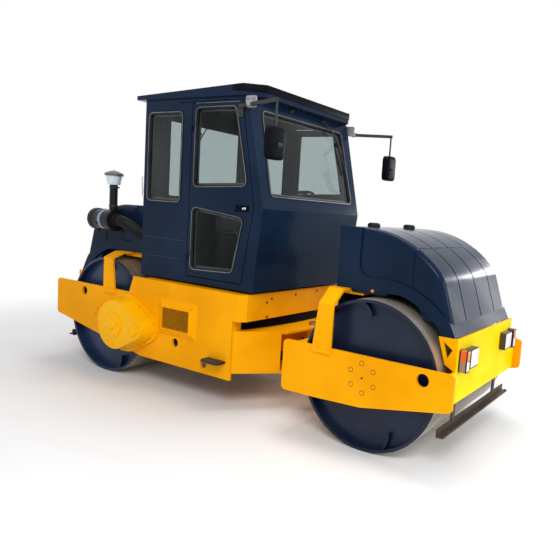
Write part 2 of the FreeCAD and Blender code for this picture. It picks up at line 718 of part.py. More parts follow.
def steering_ram(side, sign):
    """A barrel on the rear frame and its rod, drawn along +x from the base pin, then aimed at the
    pin between the link's arms."""
    aim = math.degrees(math.atan2(num(ram_aside), num(ram_reach))) * -sign
    reach = root(ram_reach * ram_reach + ram_aside * ram_aside)
    rod_start = barrel_long - rod_hidden
    barrel = cut(
        side + "_barrel",
        fuse(
            side + "_barrel_solid",
            rod(side + "_barrel_eye", "z", (0, 0, -eye_thick / 2), eye_radius, eye_thick),
            box(side + "_barrel_neck", (eye_radius / 2, -neck_side / 2, -neck_side / 2),
                (barrel_start + weld_lap, neck_side / 2, neck_side / 2)),
            rod(side + "_barrel_tube", "x", (barrel_start, 0, 0), barrel_radius,
                barrel_long - barrel_start),
        ),
        rod(side + "_barrel_pin_bore", "z", (0, 0, -eye_thick), ram_pin + running_play, 2 * eye_thick),
        rod(side + "_barrel_bore", "x", (barrel_start + barrel_floor, 0, 0), ram_rod + running_play,
            barrel_long),
    )
    piston = cut(
        side + "_rod",
        fuse(
            side + "_rod_solid",
            rod(side + "_rod_shaft", "x", (rod_start, 0, 0), ram_rod,
                reach - rod_start - eye_radius + weld_lap),
            rod(side + "_rod_eye", "z", (reach, 0, -eye_thick / 2), eye_radius, eye_thick),
        ),
        rod(side + "_rod_bore", "z", (reach, 0, -eye_thick), ram_pin, 2 * eye_thick),
    )
    for piece, name in ((barrel, side + "_steering_barrel"), (piston, side + "_steering_rod")):
        node(place(piece, (-ram_base, ram_y * sign, ram_z), Rotation(Vector(0, 0, 1), aim)), name)


steering_ram("right", -1)
steering_ram("left", 1)

# ---- engine and what shows on the rear frame's sides ------------------------------------
engine_rear = size("engine_rear", 860, "rear end of the engine, behind the origin")
engine_front = size("engine_front", 200, "front end of the engine, behind the origin")
engine_half = size("engine_half", 330, "half width of the engine")
engine_low = size("engine_low", 340, "underside of the engine")
engine_high = size("engine_high", 990, "top of the engine")
bearer_side = size("bearer_side", 60, "section of the engine's cross bearers")
bearer_inset = size("bearer_inset", 60, "from the engine's ends to its bearers")
bearer_rise = size("bearer_rise", 40, "from the engine's underside to the bearers")
bearer_low = engine_low + bearer_rise
bearers = [
    box(f"engine_bearer_{end}", (x, -plate_in, bearer_low),
        (x + bearer_side, plate_in, bearer_low + bearer_side))
    for end, x in (
        ("rear", bearer_inset - engine_rear), ("front", -engine_front - bearer_inset - bearer_side),
    )
]
engine = box("engine_body", (-engine_rear, -engine_half, engine_low),
             (-engine_front, engine_half, engine_high))
node(fuse("engine_block", engine, *bearers))

gear_x = size("gear_x", 1150, "centre of the gear case, behind the origin")
gear_z = size("gear_z", 590, "height of the gear case's centre")
gear_tail = size("gear_tail", 300, "from the gear case's centre to its tail")
gear_deep = size("gear_deep", 175, "how far the gear case stands out")
gear_face = size("gear_face", 240, "radius of the case's outer face")
gear_foot = size("gear_foot", 268, "radius of the case at its flange")
tail_face = size("tail_face", 98, "radius of the tail's outer face")
tail_foot = size("tail_foot", 125, "radius of the tail at its flange")
gear_flange = size("gear_flange", 22, "width of the case's flange")
flange_thick = size("flange_thick", 26, "thickness of the case's flange")
cover_radius = size("cover_radius", 122, "round cover on the case")
tail_cover = size("tail_cover", 68, "round cover on the tail")
cover_wall = size("cover_wall", 14, "how far the covers stand out")


def teardrop(big, small):
    """Two circles joined by their outer tangents; the big one is drawn as two arcs."""
    lean = math.degrees(math.acos((num(big) - num(small)) / num(gear_tail)))
    centre = (-gear_x, gear_z)
    tail = (gear_tail - gear_x, gear_z)
    return [
        (*polar(centre, big, lean), big), (*polar(centre, big, 180), big),
        polar(centre, big, -lean), (*polar(tail, small, -lean), small), polar(tail, small, lean),
    ]


cover_y = -plate_out - gear_deep - cover_wall
gear_rim = teardrop(gear_foot + gear_flange, tail_foot + gear_flange)
gear_sections = ((teardrop(gear_foot, tail_foot), 0), (teardrop(gear_face, tail_face), gear_deep))
node(fuse(
    "gear_case",
    plate("gear_flange_plate", "xz", gear_rim, flange_thick, (0, -plate_out, 0)),
    lofted("gear_body", "xz", gear_sections, (0, -plate_out, 0)),
    rod("gear_cover", "y", (-gear_x, cover_y, gear_z), cover_radius, cover_wall + weld_lap),
    rod("gear_tail_cover", "y", (gear_tail - gear_x, cover_y, gear_z), tail_cover, cover_wall + weld_lap),
))

grille_rear = size("grille_rear", 695, "rear edge of the side grille frame, behind the origin")
grille_front = size("grille_front", 190, "front edge of the side grille frame, behind the origin")
grille_low = size("grille_low", 560, "lower edge of the side grille frame")
grille_high = size("grille_high", 905, "upper edge of the side grille frame")
grille_slope = size("grille_slope", 62, "width of the frame's sloping border")
grille_rim = size("grille_rim", 10, "flat rim round the frame's opening")
grille_deep = size("grille_deep", 42, "how far the grille frame stands out")
mesh_deep = size("mesh_deep", 26, "how far the grille's backing stands out")


def grille_corners(inset):
    return [
        (inset - grille_rear, grille_low + inset), (-grille_front - inset, grille_low + inset),
        (-grille_front - inset, grille_high - inset), (inset - grille_rear, grille_high - inset),
    ]


right_grille = fuse(
    "right_grille",
    cut(
        "right_grille_frame",
        lofted("right_grille_slope", "xz",
               ((grille_corners(0), 0), (grille_corners(grille_slope), grille_deep)),
               (0, -plate_out, 0)),
        plate("right_grille_hole", "xz", grille_corners(grille_slope + grille_rim), 2 * grille_deep,
              (0, grille_deep / 2 - plate_out, 0)),
    ),
    plate("right_grille_backing", "xz", grille_corners(grille_slope), mesh_deep, (0, -plate_out, 0)),
)
node(group("side_grilles", right_grille, mirrored("left_grille", right_grille)))

step_x = size("step_x", 75, "middle of the side step, ahead of the origin")
step_half = size("step_half", 105, "half length of the side step")
step_z = size("step_z", 430, "underside of the side step")
step_wall = size("step_wall", 22, "thickness of the side step")
step_deep = size("step_deep", 110, "how far the side step stands out")
step_round = size("step_round", 30, "its rounded corners")
step_outline = [
    (step_x - step_half, -plate_out - step_deep), (step_x + step_half, -plate_out - step_deep),
    (step_x + step_half, -plate_out), (step_x - step_half, -plate_out),
]
right_step = plate("right_step", "xy", step_outline, step_wall, (0, 0, step_z))
rounded(right_step, [(u, v, step_wall / 2) for u, v in step_outline[:2]], step_round)
node(group("side_steps", right_step, mirrored("left_step", right_step)))

# ---- hoods over the drums ---------------------------------------------------------------
hood_half = size("hood_half", 665, "half width of the hoods at their flange")
hood_inset = size("hood_inset", 22, "how far the domed part sits inside the flange")
arch_rise = size("arch_rise", 20, "how far the hoods' arches reach above their flat undersides")
rib_wide = size("rib_wide", 90, "from the arch to the flange's upper edge")
rib_bend = size("rib_bend", 110, "radius where that edge turns upwards")
dome_round = size("dome_round", 45, "rounding of the dome's upper edges")
groove_half = size("groove_half", 8, "half width of the grooves along the dome")
groove_deep = size("groove_deep", 6, "depth of those grooves")
groove_y = size("groove_y", 345, "outer grooves, off the centre line")
seam_x = size("seam_x", 255, "cross seam of the dome, ahead of the axle")
ledge_x = size("ledge_x", 590, "ledge at the flange's end, from the axle")
ledge_z = size("ledge_z", 1088, "height of the ledge")
flange_end = size("flange_end", 640, "lower end of the flange, from the axle")

front_dome = {
    "mirror": 1,
    "low": hood_low,
    "top": size("front_dome_top", 1740, "top of the front hood"),
    "back": size("front_dome_back", 415, "flat end of the front hood, from the axle"),
    "block": size("front_dome_block", 218, "from the axle to the upright edge of the end block"),
    "crest": size("front_dome_crest", 205, "where the dome begins to fall, from the axle"),
    "crown": size("front_dome_crown", 905, "radius of the dome's long curve"),
    "brow": size("front_dome_brow", 314, "radius of the dome's short curve"),
    "steep": 72,
}
rear_dome = {
    "mirror": -1,
    "low": rear_hood_low,
    "top": size("rear_dome_top", 1760, "top of the rear hood"),
    "back": size("rear_dome_back", 460, "flat end of the rear hood, from the axle"),
    "block": size("rear_dome_block", 250, "from the axle to the upright edge of the end block"),
    "crest": size("rear_dome_crest", 45, "where the dome begins to fall, from the axle"),
    "crown": size("rear_dome_crown", 700, "radius of the dome's long curve"),
    "brow": size("rear_dome_brow", 250, "radius of the dome's short curve"),
    "steep": 75,
}
BROW_START = 45  # degrees that the long curve has turned where the short one begins
CROWN_SPOT = 70  # an angle on the long curve
RIB_END = 46  # degrees above the axle at which the arch's rim ends at the ledge
spot_drop = size("spot_drop", 90, "from the short curve's end down to a spot on the steep end")


def facing(points, mirror):
    """Turns a right-facing outline about the axle's upright plane when mirror is -1."""
    if mirror > 0:
        return points
    turned_over = []
    for i in reversed(range(len(points))):
        before = points[i - 1]
        turned_over.append((-points[i][0], points[i][1], *before[2:]))
    return turned_over


def dome_outline(dome, inset):
    """Side view of the domed part: flat crest, long curve, short curve and steep end. The inset
    gives the same outline further in."""
    crest_x = axle_x - dome["crest"]
    crown_z = dome["top"] - dome["crown"]
    long_r = dome["crown"] - inset
    short_r = dome["brow"] - inset
    corner = polar((crest_x, crown_z), dome["crown"] - dome["brow"], BROW_START)
    brow_start = polar((crest_x, crown_z), long_r, BROW_START)
    brow_end = polar(corner, short_r, 90 - dome["steep"])
    fall = brow_end[1] - ledge_z + groove_deep
    foot_x = brow_end[0] + fall / math.tan(math.radians(dome["steep"]))
    inner_x = axle_x - dome["block"] - weld_lap
    corners = [
        (crest_x, dome["top"] - inset), (inner_x, dome["top"] - inset), (inner_x, dome["low"] + rib_bend),
        (axle_x + dome["block"], dome["low"] + rib_bend / 2),
        (foot_x - 2 * rib_bend, ledge_z - groove_deep),
        (foot_x, ledge_z - groove_deep), (*brow_end, short_r), (*brow_start, long_r),
    ]
    return facing(corners, dome["mirror"])


def flange_outline(dome):
    """Side view of the flange: end block, arch over the drum and lower band, with an S-shaped
    upper edge whose two arcs meet tangentially."""
    edge_x = axle_x - dome["block"]
    arch_radius = dome["low"] - axle_z + arch_rise
    rib_radius = arch_radius + rib_wide
    reach = rib_radius + rib_bend
    bend_x = edge_x + rib_bend
    bend_z = axle_z + root(reach * reach - (bend_x - axle_x) * (bend_x - axle_x))
    join_x = axle_x + (bend_x - axle_x) * num(rib_radius) / num(reach)
    join_z = axle_z + (bend_z - axle_z) * num(rib_radius) / num(reach)
    rib_end = polar((axle_x, axle_z), rib_radius, RIB_END)
    low_dx = root(arch_radius * arch_radius - (dome["low"] - axle_z) * (dome["low"] - axle_z))
    foot_dx = root(arch_radius * arch_radius - (panel_top - axle_z) * (panel_top - axle_z))
    corners = [
        (axle_x - dome["back"], dome["low"]), (axle_x + low_dx, dome["low"], -arch_radius),
        (axle_x + foot_dx, panel_top), (axle_x + flange_end, panel_top), (axle_x + ledge_x, ledge_z),
        (*rib_end, rib_radius), (join_x, join_z, -rib_bend), (edge_x, bend_z), (edge_x, dome["top"]),
        (axle_x - dome["back"], dome["top"]),
    ]
    return facing(corners, dome["mirror"])


def moulded_hood(name, dome):
    """A flange as wide as the hood, and inside it a dome with rounded edges and shallow grooves."""
    mirror = dome["mirror"]
    half = hood_half - hood_inset
    shell = plate(name + "_dome", "xz", dome_outline(dome, 0), 2 * half, (0, 0, 0), (), (), True)
    crest_x = axle_x - dome["crest"]
    crown_z = dome["top"] - dome["crown"]
    corner = polar((crest_x, crown_z), dome["crown"] - dome["brow"], BROW_START)
    middles = [
        (axle_x - dome["block"], dome["top"]),
        polar((crest_x, crown_z), dome["crown"], CROWN_SPOT),
        polar(corner, dome["brow"], (BROW_START + 90 - dome["steep"]) / 2),
    ]
    steep_top = polar(corner, dome["brow"], 90 - dome["steep"])
    spot_run = spot_drop / math.tan(math.radians(dome["steep"]))
    middles.append((steep_top[0] + spot_run, steep_top[1] - spot_drop))
    edges = [(u * mirror, y, v) for u, v in middles for y in (-half, half)]
    rounded(shell, edges, dome_round)
    slabs = [
        box(f"{name}_groove_{i}", (axle_x * mirror - hood_half, y - groove_half, dome["low"] - groove_y),
            (axle_x * mirror + hood_half, y + groove_half, dome["top"] + groove_deep))
        for i, y in enumerate((-groove_y, 0, groove_y))
    ]
    seam = (axle_x + seam_x) * mirror
    slabs.append(box(f"{name}_seam", (seam - groove_half, -hood_half, dome["low"]),
                     (seam + groove_half, hood_half, dome["top"] + groove_deep)))
    core = plate(name + "_core", "xz", dome_outline(dome, groove_deep), 2 * (half - groove_deep),
                 (0, 0, 0), (), (), True)
    grooves = cut(name + "_grooves", fuse(name + "_slabs", *slabs), core)
    flange = plate(name + "_flange", "xz", flange_outline(dome), 2 * hood_half, (0, 0, 0), (), (), True)
    return node(fuse(name, flange, cut(name + "_grooved", shell, grooves)))


moulded_hood("front_hood", front_dome)
rear_hood = moulded_hood("rear_hood", rear_dome)

cap_radius = size("cap_radius", 50, "filler caps")
cap_high = size("cap_high", 28, "height of the filler caps")
FILLERS = (  # distance behind the front axle, place off the centre line
    (size("rear_filler_back", 290, "rear filler cap, behind the front axle"),
     size("rear_filler_side", -345, "that cap, off the centre line")),
    (size("front_filler_back", 225, "front filler cap, behind the front axle"),
     size("front_filler_side", 200, "that cap, off the centre line")),
)
caps = [
    rod(f"filler_cap_{i}", "z", (axle_x - back, side, front_dome["top"]), cap_radius, cap_high)
    for i, (back, side) in enumerate(FILLERS)
]
node(group("filler_caps", *caps))

cleaner_x = size("cleaner_x", 60, "middle of the air cleaner, behind the rear axle")
cleaner_y = size("cleaner_y", 795, "air cleaner off the centre line")
cleaner_z = size("cleaner_z", 1590, "height of the air cleaner")
cleaner_radius = size("cleaner_radius", 105, "air cleaner canister")
cleaner_long = size("cleaner_long", 320, "length of the canister")
lid_rim = size("lid_rim", 7, "how far the canister's end lids stand proud")
lid_long = size("lid_long", 45, "length of those lids")
pipe_x = size("pipe_x", 108, "intake pipe, ahead of the canister's middle")
pipe_radius = size("pipe_radius", 40, "intake pipe")
pipe_top = size("pipe_top", 1950, "top of the intake pipe")
hose_radius = size("hose_radius", 58, "outlet hose")
hose_bend = size("hose_bend", 150, "bend radius of the outlet hose")
hose_start = size("hose_start", 40, "straight start of the hose")
hose_long = size("hose_long", 250, "straight end of the hose")
HOSE_TURN = 40  # degrees that the hose turns towards the hood
HOSE_ROLL = -43  # degrees by which that turn also leads downwards

canister = [
    (0, 0), (cleaner_radius + lid_rim, 0), (cleaner_radius + lid_rim, lid_long), (cleaner_radius, lid_long),
    (cleaner_radius, cleaner_long - lid_long), (cleaner_radius + lid_rim, cleaner_long - lid_long),
    (cleaner_radius + lid_rim, cleaner_long), (0, cleaner_long),
]
canister_body = turned("canister", canister, (0, 0, 0), "xz")
canister_rear = -axle_x - cleaner_x - cleaner_long / 2
place(canister_body, (canister_rear, -cleaner_y, cleaner_z), TURNS["x"])
bend = doc.addObject("Part::Torus", "hose_elbow")
bind(bend, "Radius1", hose_bend)
bind(bend, "Radius2", hose_radius)
bend.Angle3 = HOSE_TURN
place(bend, (hose_start, hose_bend, 0), Rotation(Vector(0, 0, 1), -90))
arc_end = polar((hose_start, hose_bend), hose_bend, HOSE_TURN - 90)
hose_end = rod("hose_end", "x", (*arc_end, 0), hose_radius, hose_long)
place(hose_end, (*arc_end, 0), Rotation(Vector(0, 0, 1), HOSE_TURN) * TURNS["x"])
hose_stub = rod("hose_stub", "x", (-weld_lap, 0, 0), hose_radius, hose_start + weld_lap)
hose = fuse("hose", hose_stub, bend, hose_end)
place(hose, (canister_rear + cleaner_long, -cleaner_y, cleaner_z), Rotation(Vector(1, 0, 0), HOSE_ROLL))
hose = cut("hose_to_hood", hose, rear_hood)
pipe_place = -axle_x - cleaner_x + pipe_x
node(fuse(
    "air_cleaner",
    canister_body,
    hose,
    rod("intake_pipe", "z", (pipe_place, -cleaner_y, cleaner_z), pipe_radius, pipe_top - cleaner_z),
    box("canister_foot", (-axle_x - cleaner_x - hose_radius, -cleaner_y, cleaner_z - pipe_radius),
        (-axle_x - cleaner_x + hose_radius, hood_inset - hood_half, cleaner_z + pipe_radius)),
))
bowl_foot = size("bowl_foot", 62, "radius of the pre-cleaner bowl at its foot")
bowl_radius = size("bowl_radius", 80, "radius of the bowl at its top")
bowl_high = size("bowl_high", 90, "height of the bowl")
lid_radius = size("lid_radius", 92, "lid of the bowl")
lid_high = size("lid_high", 24, "height of that lid")
lid_top = size("lid_top", 40, "flat top of that lid")
bowl_top = pipe_top + bowl_high
bowl = [
    (0, pipe_top), (bowl_foot, pipe_top), (bowl_radius, bowl_top), (lid_radius, bowl_top),
    (lid_radius, bowl_top + lid_high), (lid_top, bowl_top + 2 * lid_high), (0, bowl_top + 2 * lid_high),
]
node(turned("pre_cleaner", bowl, (pipe_place, -cleaner_y, 0), "xz"))

# ---- scrapers and lamps -----------------------------------------------------------------
scraper_gap = size("scraper_gap", 6, "between a scraper's angle and its drum")
scraper_z = size("scraper_z", 270, "underside of the scraper angle")
scraper_half = size("scraper_half", 790, "half length of a scraper")
scraper_leg = size("scraper_leg", 60, "legs of the angle")
scraper_wall = size("scraper_wall", 12, "thickness of the angle and its hangers")
hanger_wide = size("hanger_wide", 60, "width of the hangers")
hanger_right = size("hanger_right", 520, "right hanger off the centre line")
hanger_left = size("hanger_left", 460, "left hanger off the centre line")
hanger_lap = size("hanger_lap", 60, "how far the hangers reach above the panel's lower edge")
scraper_x = drum_radius + scraper_gap


def scraper(name, mirror):
    """An angle bar close to the drum, hung from the end panel by two bent hangers."""

    def block(label, low, high):
        """A block given by distances from the axle."""
        near, far = (axle_x + low[0]) * mirror, (axle_x + high[0]) * mirror
        if mirror < 0:
            near, far = far, near
        return box(f"{name}_{label}", (near, low[1], low[2]), (far, high[1], high[2]))

    upright = scraper_x + scraper_wall
    pieces = [
        block("upright_leg", (scraper_x, -scraper_half, scraper_z),
              (upright, scraper_half, scraper_z + scraper_leg)),
        block("flat_leg", (scraper_x, -scraper_half, scraper_z),
              (scraper_x + scraper_leg, scraper_half, scraper_z + scraper_wall)),
    ]
    tie_top = panel_low + hanger_lap
    for side, y in (("right", -hanger_right), ("left", hanger_left)):
        far_side = y + hanger_wide
        pieces.append(block("hanger_" + side, (scraper_x, y, scraper_z), (upright, far_side, tie_top)))
        pieces.append(block("tie_" + side, (scraper_x, y, tie_top - scraper_wall),
                            (panel_reach, far_side, tie_top)))
    return node(fuse(name, *pieces))


scraper("front_scraper", 1)
scraper("rear_scraper", -1)

lamp_z = size("lamp_z", 825, "height of the lamps")
headlight_y = size("headlight_y", 440, "headlights off the centre line")
headlight_half = size("headlight_half", 85, "half width of a headlight")
headlight_rise = size("headlight_rise", 75, "half height of a headlight")
headlight_deep = size("headlight_deep", 45, "how far a headlight stands out")
marker_y = size("marker_y", 600, "marker lamps off the centre line")
marker_half = size("marker_half", 35, "half width of a marker lamp")
marker_rise = size("marker_rise", 85, "half height of a marker lamp")
marker_deep = size("marker_deep", 55, "how far a marker lamp stands out")
lamp_round = size("lamp_round", 12, "rounded corners of the lamps")
LAMPS = (  # name, place off the centre line, half width, half height, depth
    ("headlight", headlight_y, headlight_half, headlight_rise, headlight_deep),
    ("marker", marker_y, marker_half, marker_rise, marker_deep),
)
lamps = []
for name, y, half_width, half_height, deep in LAMPS:
    corners = [
        (-y - half_width, lamp_z - half_height), (half_width - y, lamp_z - half_height),
        (half_width - y, lamp_z + half_height), (-y - half_width, lamp_z + half_height),
    ]
    lamp = plate("right_" + name, "yz", corners, deep, (axle_x + panel_reach + plate_wall, 0, 0))
    rounded(lamp, [(deep / 2, u, v) for u, v in corners], lamp_round)
    lamps += [lamp, mirrored("left_" + name, lamp)]
node(group("front_lamps", *lamps))

# ---- cab: walls and doors ---------------------------------------------------------------
cab_half = size("cab_half", 790, "half width of the cab")
cab_wall = size("cab_wall", 40, "thickness of the cab's walls and doors")
glass_wall = size("glass_wall", 8, "thickness of the panes")
cab_rear = size("cab_rear", 1080, "rear face of the cab, behind the origin")
cab_lift = size("cab_lift", 22, "between the deck and the cab, where the rubber feet stand")
cab_high = size("cab_high", 2775, "top of the cab's walls")
belt_x = size("belt_x", 445, "foremost corner of the cab")
belt_z = size("belt_z", 1822, "height of that corner")
chin_x = size("chin_x", 375, "lower front corner of the cab")
brow_x = size("brow_x", 222, "upper front corner of the cab")
door_rear = size("door_rear", 440, "rear edge of the doors, behind the origin")
door_front = size("door_front", 235, "lower front corner of the doors")
door_belly = size("door_belly", 105, "how far the door's front edge bulges at the belt")
door_lean = size("door_lean", 75, "how far its upper front corner leans back")
door_sill = size("door_sill", 63, "from the cab's underside to the doors")
door_head = size("door_head", 50, "from the doors to the top of the cab's walls")
door_gap = size("door_gap", 8, "gap round the doors")
pane_round = size("pane_round", 55, "corner radius of the windows")
cab_low = rear_deck + cab_lift
inner_half = cab_half - cab_wall
door_low = cab_low + door_sill
door_high = cab_high - door_head


def door_corners(gap):
    return [
        (-door_rear - gap, door_low - gap), (door_front + gap, door_low - gap),
        (door_front + door_belly + gap, belt_z), (door_front - door_lean + gap, door_high + gap),
        (-door_rear - gap, door_high + gap),
    ]


side_outline = [
    (-cab_rear, cab_low), (chin_x, cab_low), (belt_x, belt_z), (brow_x, cab_high), (-cab_rear, cab_high),
]
pane_edge = size("pane_edge", 55, "from the cab's rear edge to the fixed side window")
pane_front = size("pane_front", 560, "front edge of the fixed side window, behind the origin")
pane_low = size("pane_low", 1825, "lower edge of the fixed side window")
pane_high = size("pane_high", 2655, "upper edge of the fixed side window")
stile = size("stile", 45, "from the door's rear edge to its windows")
rail_high = size("rail_high", 1975, "upper edge of the door's middle rail")
rail_low = size("rail_low", 1798, "lower edge of the door's middle rail")
kick_high = size("kick_high", 1212, "lower edge of the door's lower window")
upper_foot = size("upper_foot", 262, "front lower corner of the door's upper window")
upper_head = size("upper_head", 95, "front upper corner of that window")
lower_head = size("lower_head", 236, "front upper corner of the door's lower window")
lower_foot = size("lower_foot", 130, "front lower corner of that window")
rail_rise = size("rail_rise", 30, "how much higher the upper window's front lower corner is")
rail_fall = size("rail_fall", 70, "how much lower the lower window's front upper corner is")
kick_rise = size("kick_rise", 22, "how much higher the lower window's front lower corner is")
door_pane_high = size("door_pane_high", 2690, "upper edge of the door's upper window")
rear_pane = [
    (pane_edge - cab_rear, pane_low), (-pane_front, pane_low), (-pane_front, pane_high),
    (pane_edge - cab_rear, pane_high),
]
upper_pane = [
    (stile - door_rear, rail_high), (upper_foot, rail_high + rail_rise), (upper_head, door_pane_high),
    (stile - door_rear, door_pane_high),
]
lower_pane = [
    (stile - door_rear, kick_high), (lower_foot, kick_high + kick_rise), (lower_head, rail_low - rail_fall),
    (stile - door_rear, rail_low),
]


def spots(points, y):
    return [(u, y, v) for u, v in points]


knuckle_radius = size("knuckle_radius", 10, "hinge knuckles of the doors")
hinge_pin = size("hinge_pin", 5, "hinge pins of the doors")
knuckle_long = size("knuckle_long", 40, "length of one hinge knuckle")
knuckle_gap = size("knuckle_gap", 1, "between the two knuckles of a hinge")
leaf_wide = size("leaf_wide", 50, "width of a hinge leaf")
leaf_gap = size("leaf_gap", 2, "from the cab's side to the knuckles")
upper_hinge = size("upper_hinge", 2520, "height of the upper door hinge")
lower_hinge = size("lower_hinge", 1345, "height of the lower door hinge")
hinge_x = -door_rear - door_gap / 2
hinge_y = -cab_half - leaf_gap - knuckle_radius
fixed_hinges = []
door_hinges = []
hinge_bores = []
for level, z in (("upper", upper_hinge), ("lower", lower_hinge)):
    foot = z - knuckle_gap - knuckle_long
    fixed_hinges += [
        box(level + "_fixed_leaf", (hinge_x - leaf_wide, hinge_y + leaf_gap, foot),
            (hinge_x, -cab_half, z - knuckle_gap)),
        rod(level + "_fixed_knuckle", "z", (hinge_x, hinge_y, foot), knuckle_radius, knuckle_long),
        rod(level + "_hinge_pin", "z", (hinge_x, hinge_y, foot + weld_lap), hinge_pin,
            2 * knuckle_long - weld_lap),
    ]
    door_hinges += [
        box(level + "_door_leaf", (hinge_x, hinge_y + leaf_gap, z),
            (hinge_x + leaf_wide, -cab_half, z + knuckle_long)),
        rod(level + "_door_knuckle", "z", (hinge_x, hinge_y, z), knuckle_radius, knuckle_long),
    ]
    hinge_bores.append(rod(level + "_hinge_bore", "z", (hinge_x, hinge_y, z - knuckle_gap),
                           hinge_pin + running_play, knuckle_long + 2 * knuckle_gap))

side = plate("right_side_sheet", "xz", side_outline, cab_wall, (0, -inner_half, 0),
             (door_corners(door_gap), rear_pane))
rounded(side, spots(rear_pane, -cab_wall / 2), pane_round)
side = node(fuse("cab_right_side", side, *fixed_hinges))
node(mirrored("cab_left_side", side))

recess_x = size("recess_x", 215, "middle of the door handle's recess, ahead of the origin")
recess_half = size("recess_half", 80, "half length of that recess")
recess_low = size("recess_low", 1780, "its lower edge")
recess_high = size("recess_high", 1844, "its upper edge")
recess_deep = size("recess_deep", 18, "its depth")
door = plate("right_door_sheet", "xz", door_corners(0), cab_wall, (0, -inner_half, 0),
             (upper_pane, lower_pane))
rounded(door, spots(upper_pane + lower_pane, -cab_wall / 2), pane_round)
recess = box("handle_recess", (recess_x - recess_half, -cab_half - recess_deep, recess_low),
             (recess_x + recess_half, recess_deep - cab_half, recess_high))
door = node(cut("right_door", fuse("right_door_solid", door, *door_hinges), recess, *hinge_bores))
node(mirrored("left_door", door))


def pane(name, corners):
    """A pane seated in the middle of the cab's wall."""
    glass = plate(name, "xz", corners, glass_wall, (0, -inner_half - cab_wall / 2, 0))
    return rounded(glass, spots(corners, -glass_wall / 2), pane_round)


door_glass = group(
    "right_door_glass", pane("right_upper_pane", upper_pane), pane("right_lower_pane", lower_pane),
)
node(door_glass)
node(mirrored("left_door_glass", door_glass))

# ---- cab: rear wall, front and roof -----------------------------------------------------
back_side = size("back_side", 240, "from the rear wall's edges to its window")
back_low = size("back_low", 1850, "lower edge of the rear window")
back_high = size("back_high", 2665, "upper edge of the rear window")
wall_outline = [
    (-inner_half, cab_low), (inner_half, cab_low), (inner_half, cab_high), (-inner_half, cab_high),
]
back_half = inner_half - back_side
rear_window = [
    (-back_half, back_low), (back_half, back_low), (back_half, back_high), (-back_half, back_high),
]
back = plate("cab_rear_wall", "yz", wall_outline, cab_wall, (-cab_rear, 0, 0), (rear_window,))
rounded(back, [(cab_wall / 2, u, v) for u, v in rear_window], pane_round)
node(back)
rear_glass = plate("rear_window_pane", "yz", rear_window, glass_wall, (-cab_rear + cab_wall / 2, 0, 0))
rounded(rear_glass, [(glass_wall / 2, u, v) for u, v in rear_window], pane_round)

screen_low = size("screen_low", 1930, "lower edge of the windscreen")
screen_high = size("screen_high", 2675, "upper edge of the windscreen")
screen_side = size("screen_side", 80, "pillar beside the windscreen's lower corners")
screen_taper = size("screen_taper", 30, "how much wider the pillars are at the top")
glass_inset = size("glass_inset", 15, "from the cab's front face to the windscreen")
low_half = inner_half - screen_side
high_half = low_half - screen_taper
screen = [
    (-low_half, screen_low), (low_half, screen_low), (high_half, screen_high), (-high_half, screen_high),
]


def screen_prism(name):
    """The windscreen's outline carried through the whole front of the cab."""
    prism = plate(name, "yz", screen, belt_x + cab_wall, (0, 0, 0))
    return rounded(prism, [((belt_x + cab_wall) / 2, u, v) for u, v in screen], pane_round)


front_profile = [
    (chin_x, cab_low), (belt_x, belt_z), (brow_x, cab_high), (brow_x - cab_wall, cab_high),
    (belt_x - cab_wall, belt_z), (chin_x - cab_wall, cab_low),
]
front_wall = plate("cab_front_wall", "xz", front_profile, 2 * inner_half, (0, 0, 0), (), (), True)
node(cut("cab_front", front_wall, screen_prism("screen_opening")))
glass_out = belt_x - glass_inset
glass_top = brow_x - glass_inset
glass_profile = [
    (glass_out, belt_z), (glass_top, cab_high), (glass_top - glass_wall, cab_high),
    (glass_out - glass_wall, belt_z),
]
screen_slab = plate("screen_slab", "xz", glass_profile, 2 * inner_half, (0, 0, 0), (), (), True)
side_glass = pane("right_side_pane", rear_pane)
node(group(
    "cab_fixed_glass", rear_glass, side_glass, mirrored("left_side_pane", side_glass),
    common("windscreen", screen_slab, screen_prism("screen_cutter")),
))

roof_rear = size("roof_rear", 105, "how far the roof stands out behind the cab")
roof_side = size("roof_side", 25, "how far it stands out at the sides")
roof_front = size("roof_front", 95, "how far it stands out in front")
roof_bevel_x = size("roof_bevel_x", 145, "length of its bevelled front corners")
roof_bevel_y = size("roof_bevel_y", 150, "width of its bevelled front corners")
roof_rear_high = size("roof_rear_high", 40, "height of the roof's rear edge")
roof_front_high = size("roof_front_high", 105, "height of the roof's front edge")
roof_out = cab_half + roof_side
roof_nose = brow_x + roof_front
roof_tail = -cab_rear - roof_rear
roof_plan = [
    (roof_tail, -roof_out), (roof_nose - roof_bevel_x, -roof_out), (roof_nose, roof_bevel_y - roof_out),
    (roof_nose, roof_out - roof_bevel_y), (roof_nose - roof_bevel_x, roof_out), (roof_tail, roof_out),
]
roof_profile = [
    (roof_tail, cab_high), (roof_nose, cab_high), (roof_nose, cab_high + roof_front_high),
    (roof_tail, cab_high + roof_rear_high),
]
node(common(
    "cab_roof",
    plate("roof_plan_prism", "xy", roof_plan, 2 * roof_front_high, (0, 0, cab_high - weld_lap)),
    plate("roof_wedge", "xz", roof_profile, 2 * (roof_out + weld_lap), (0, 0, 0), (), (), True),
))

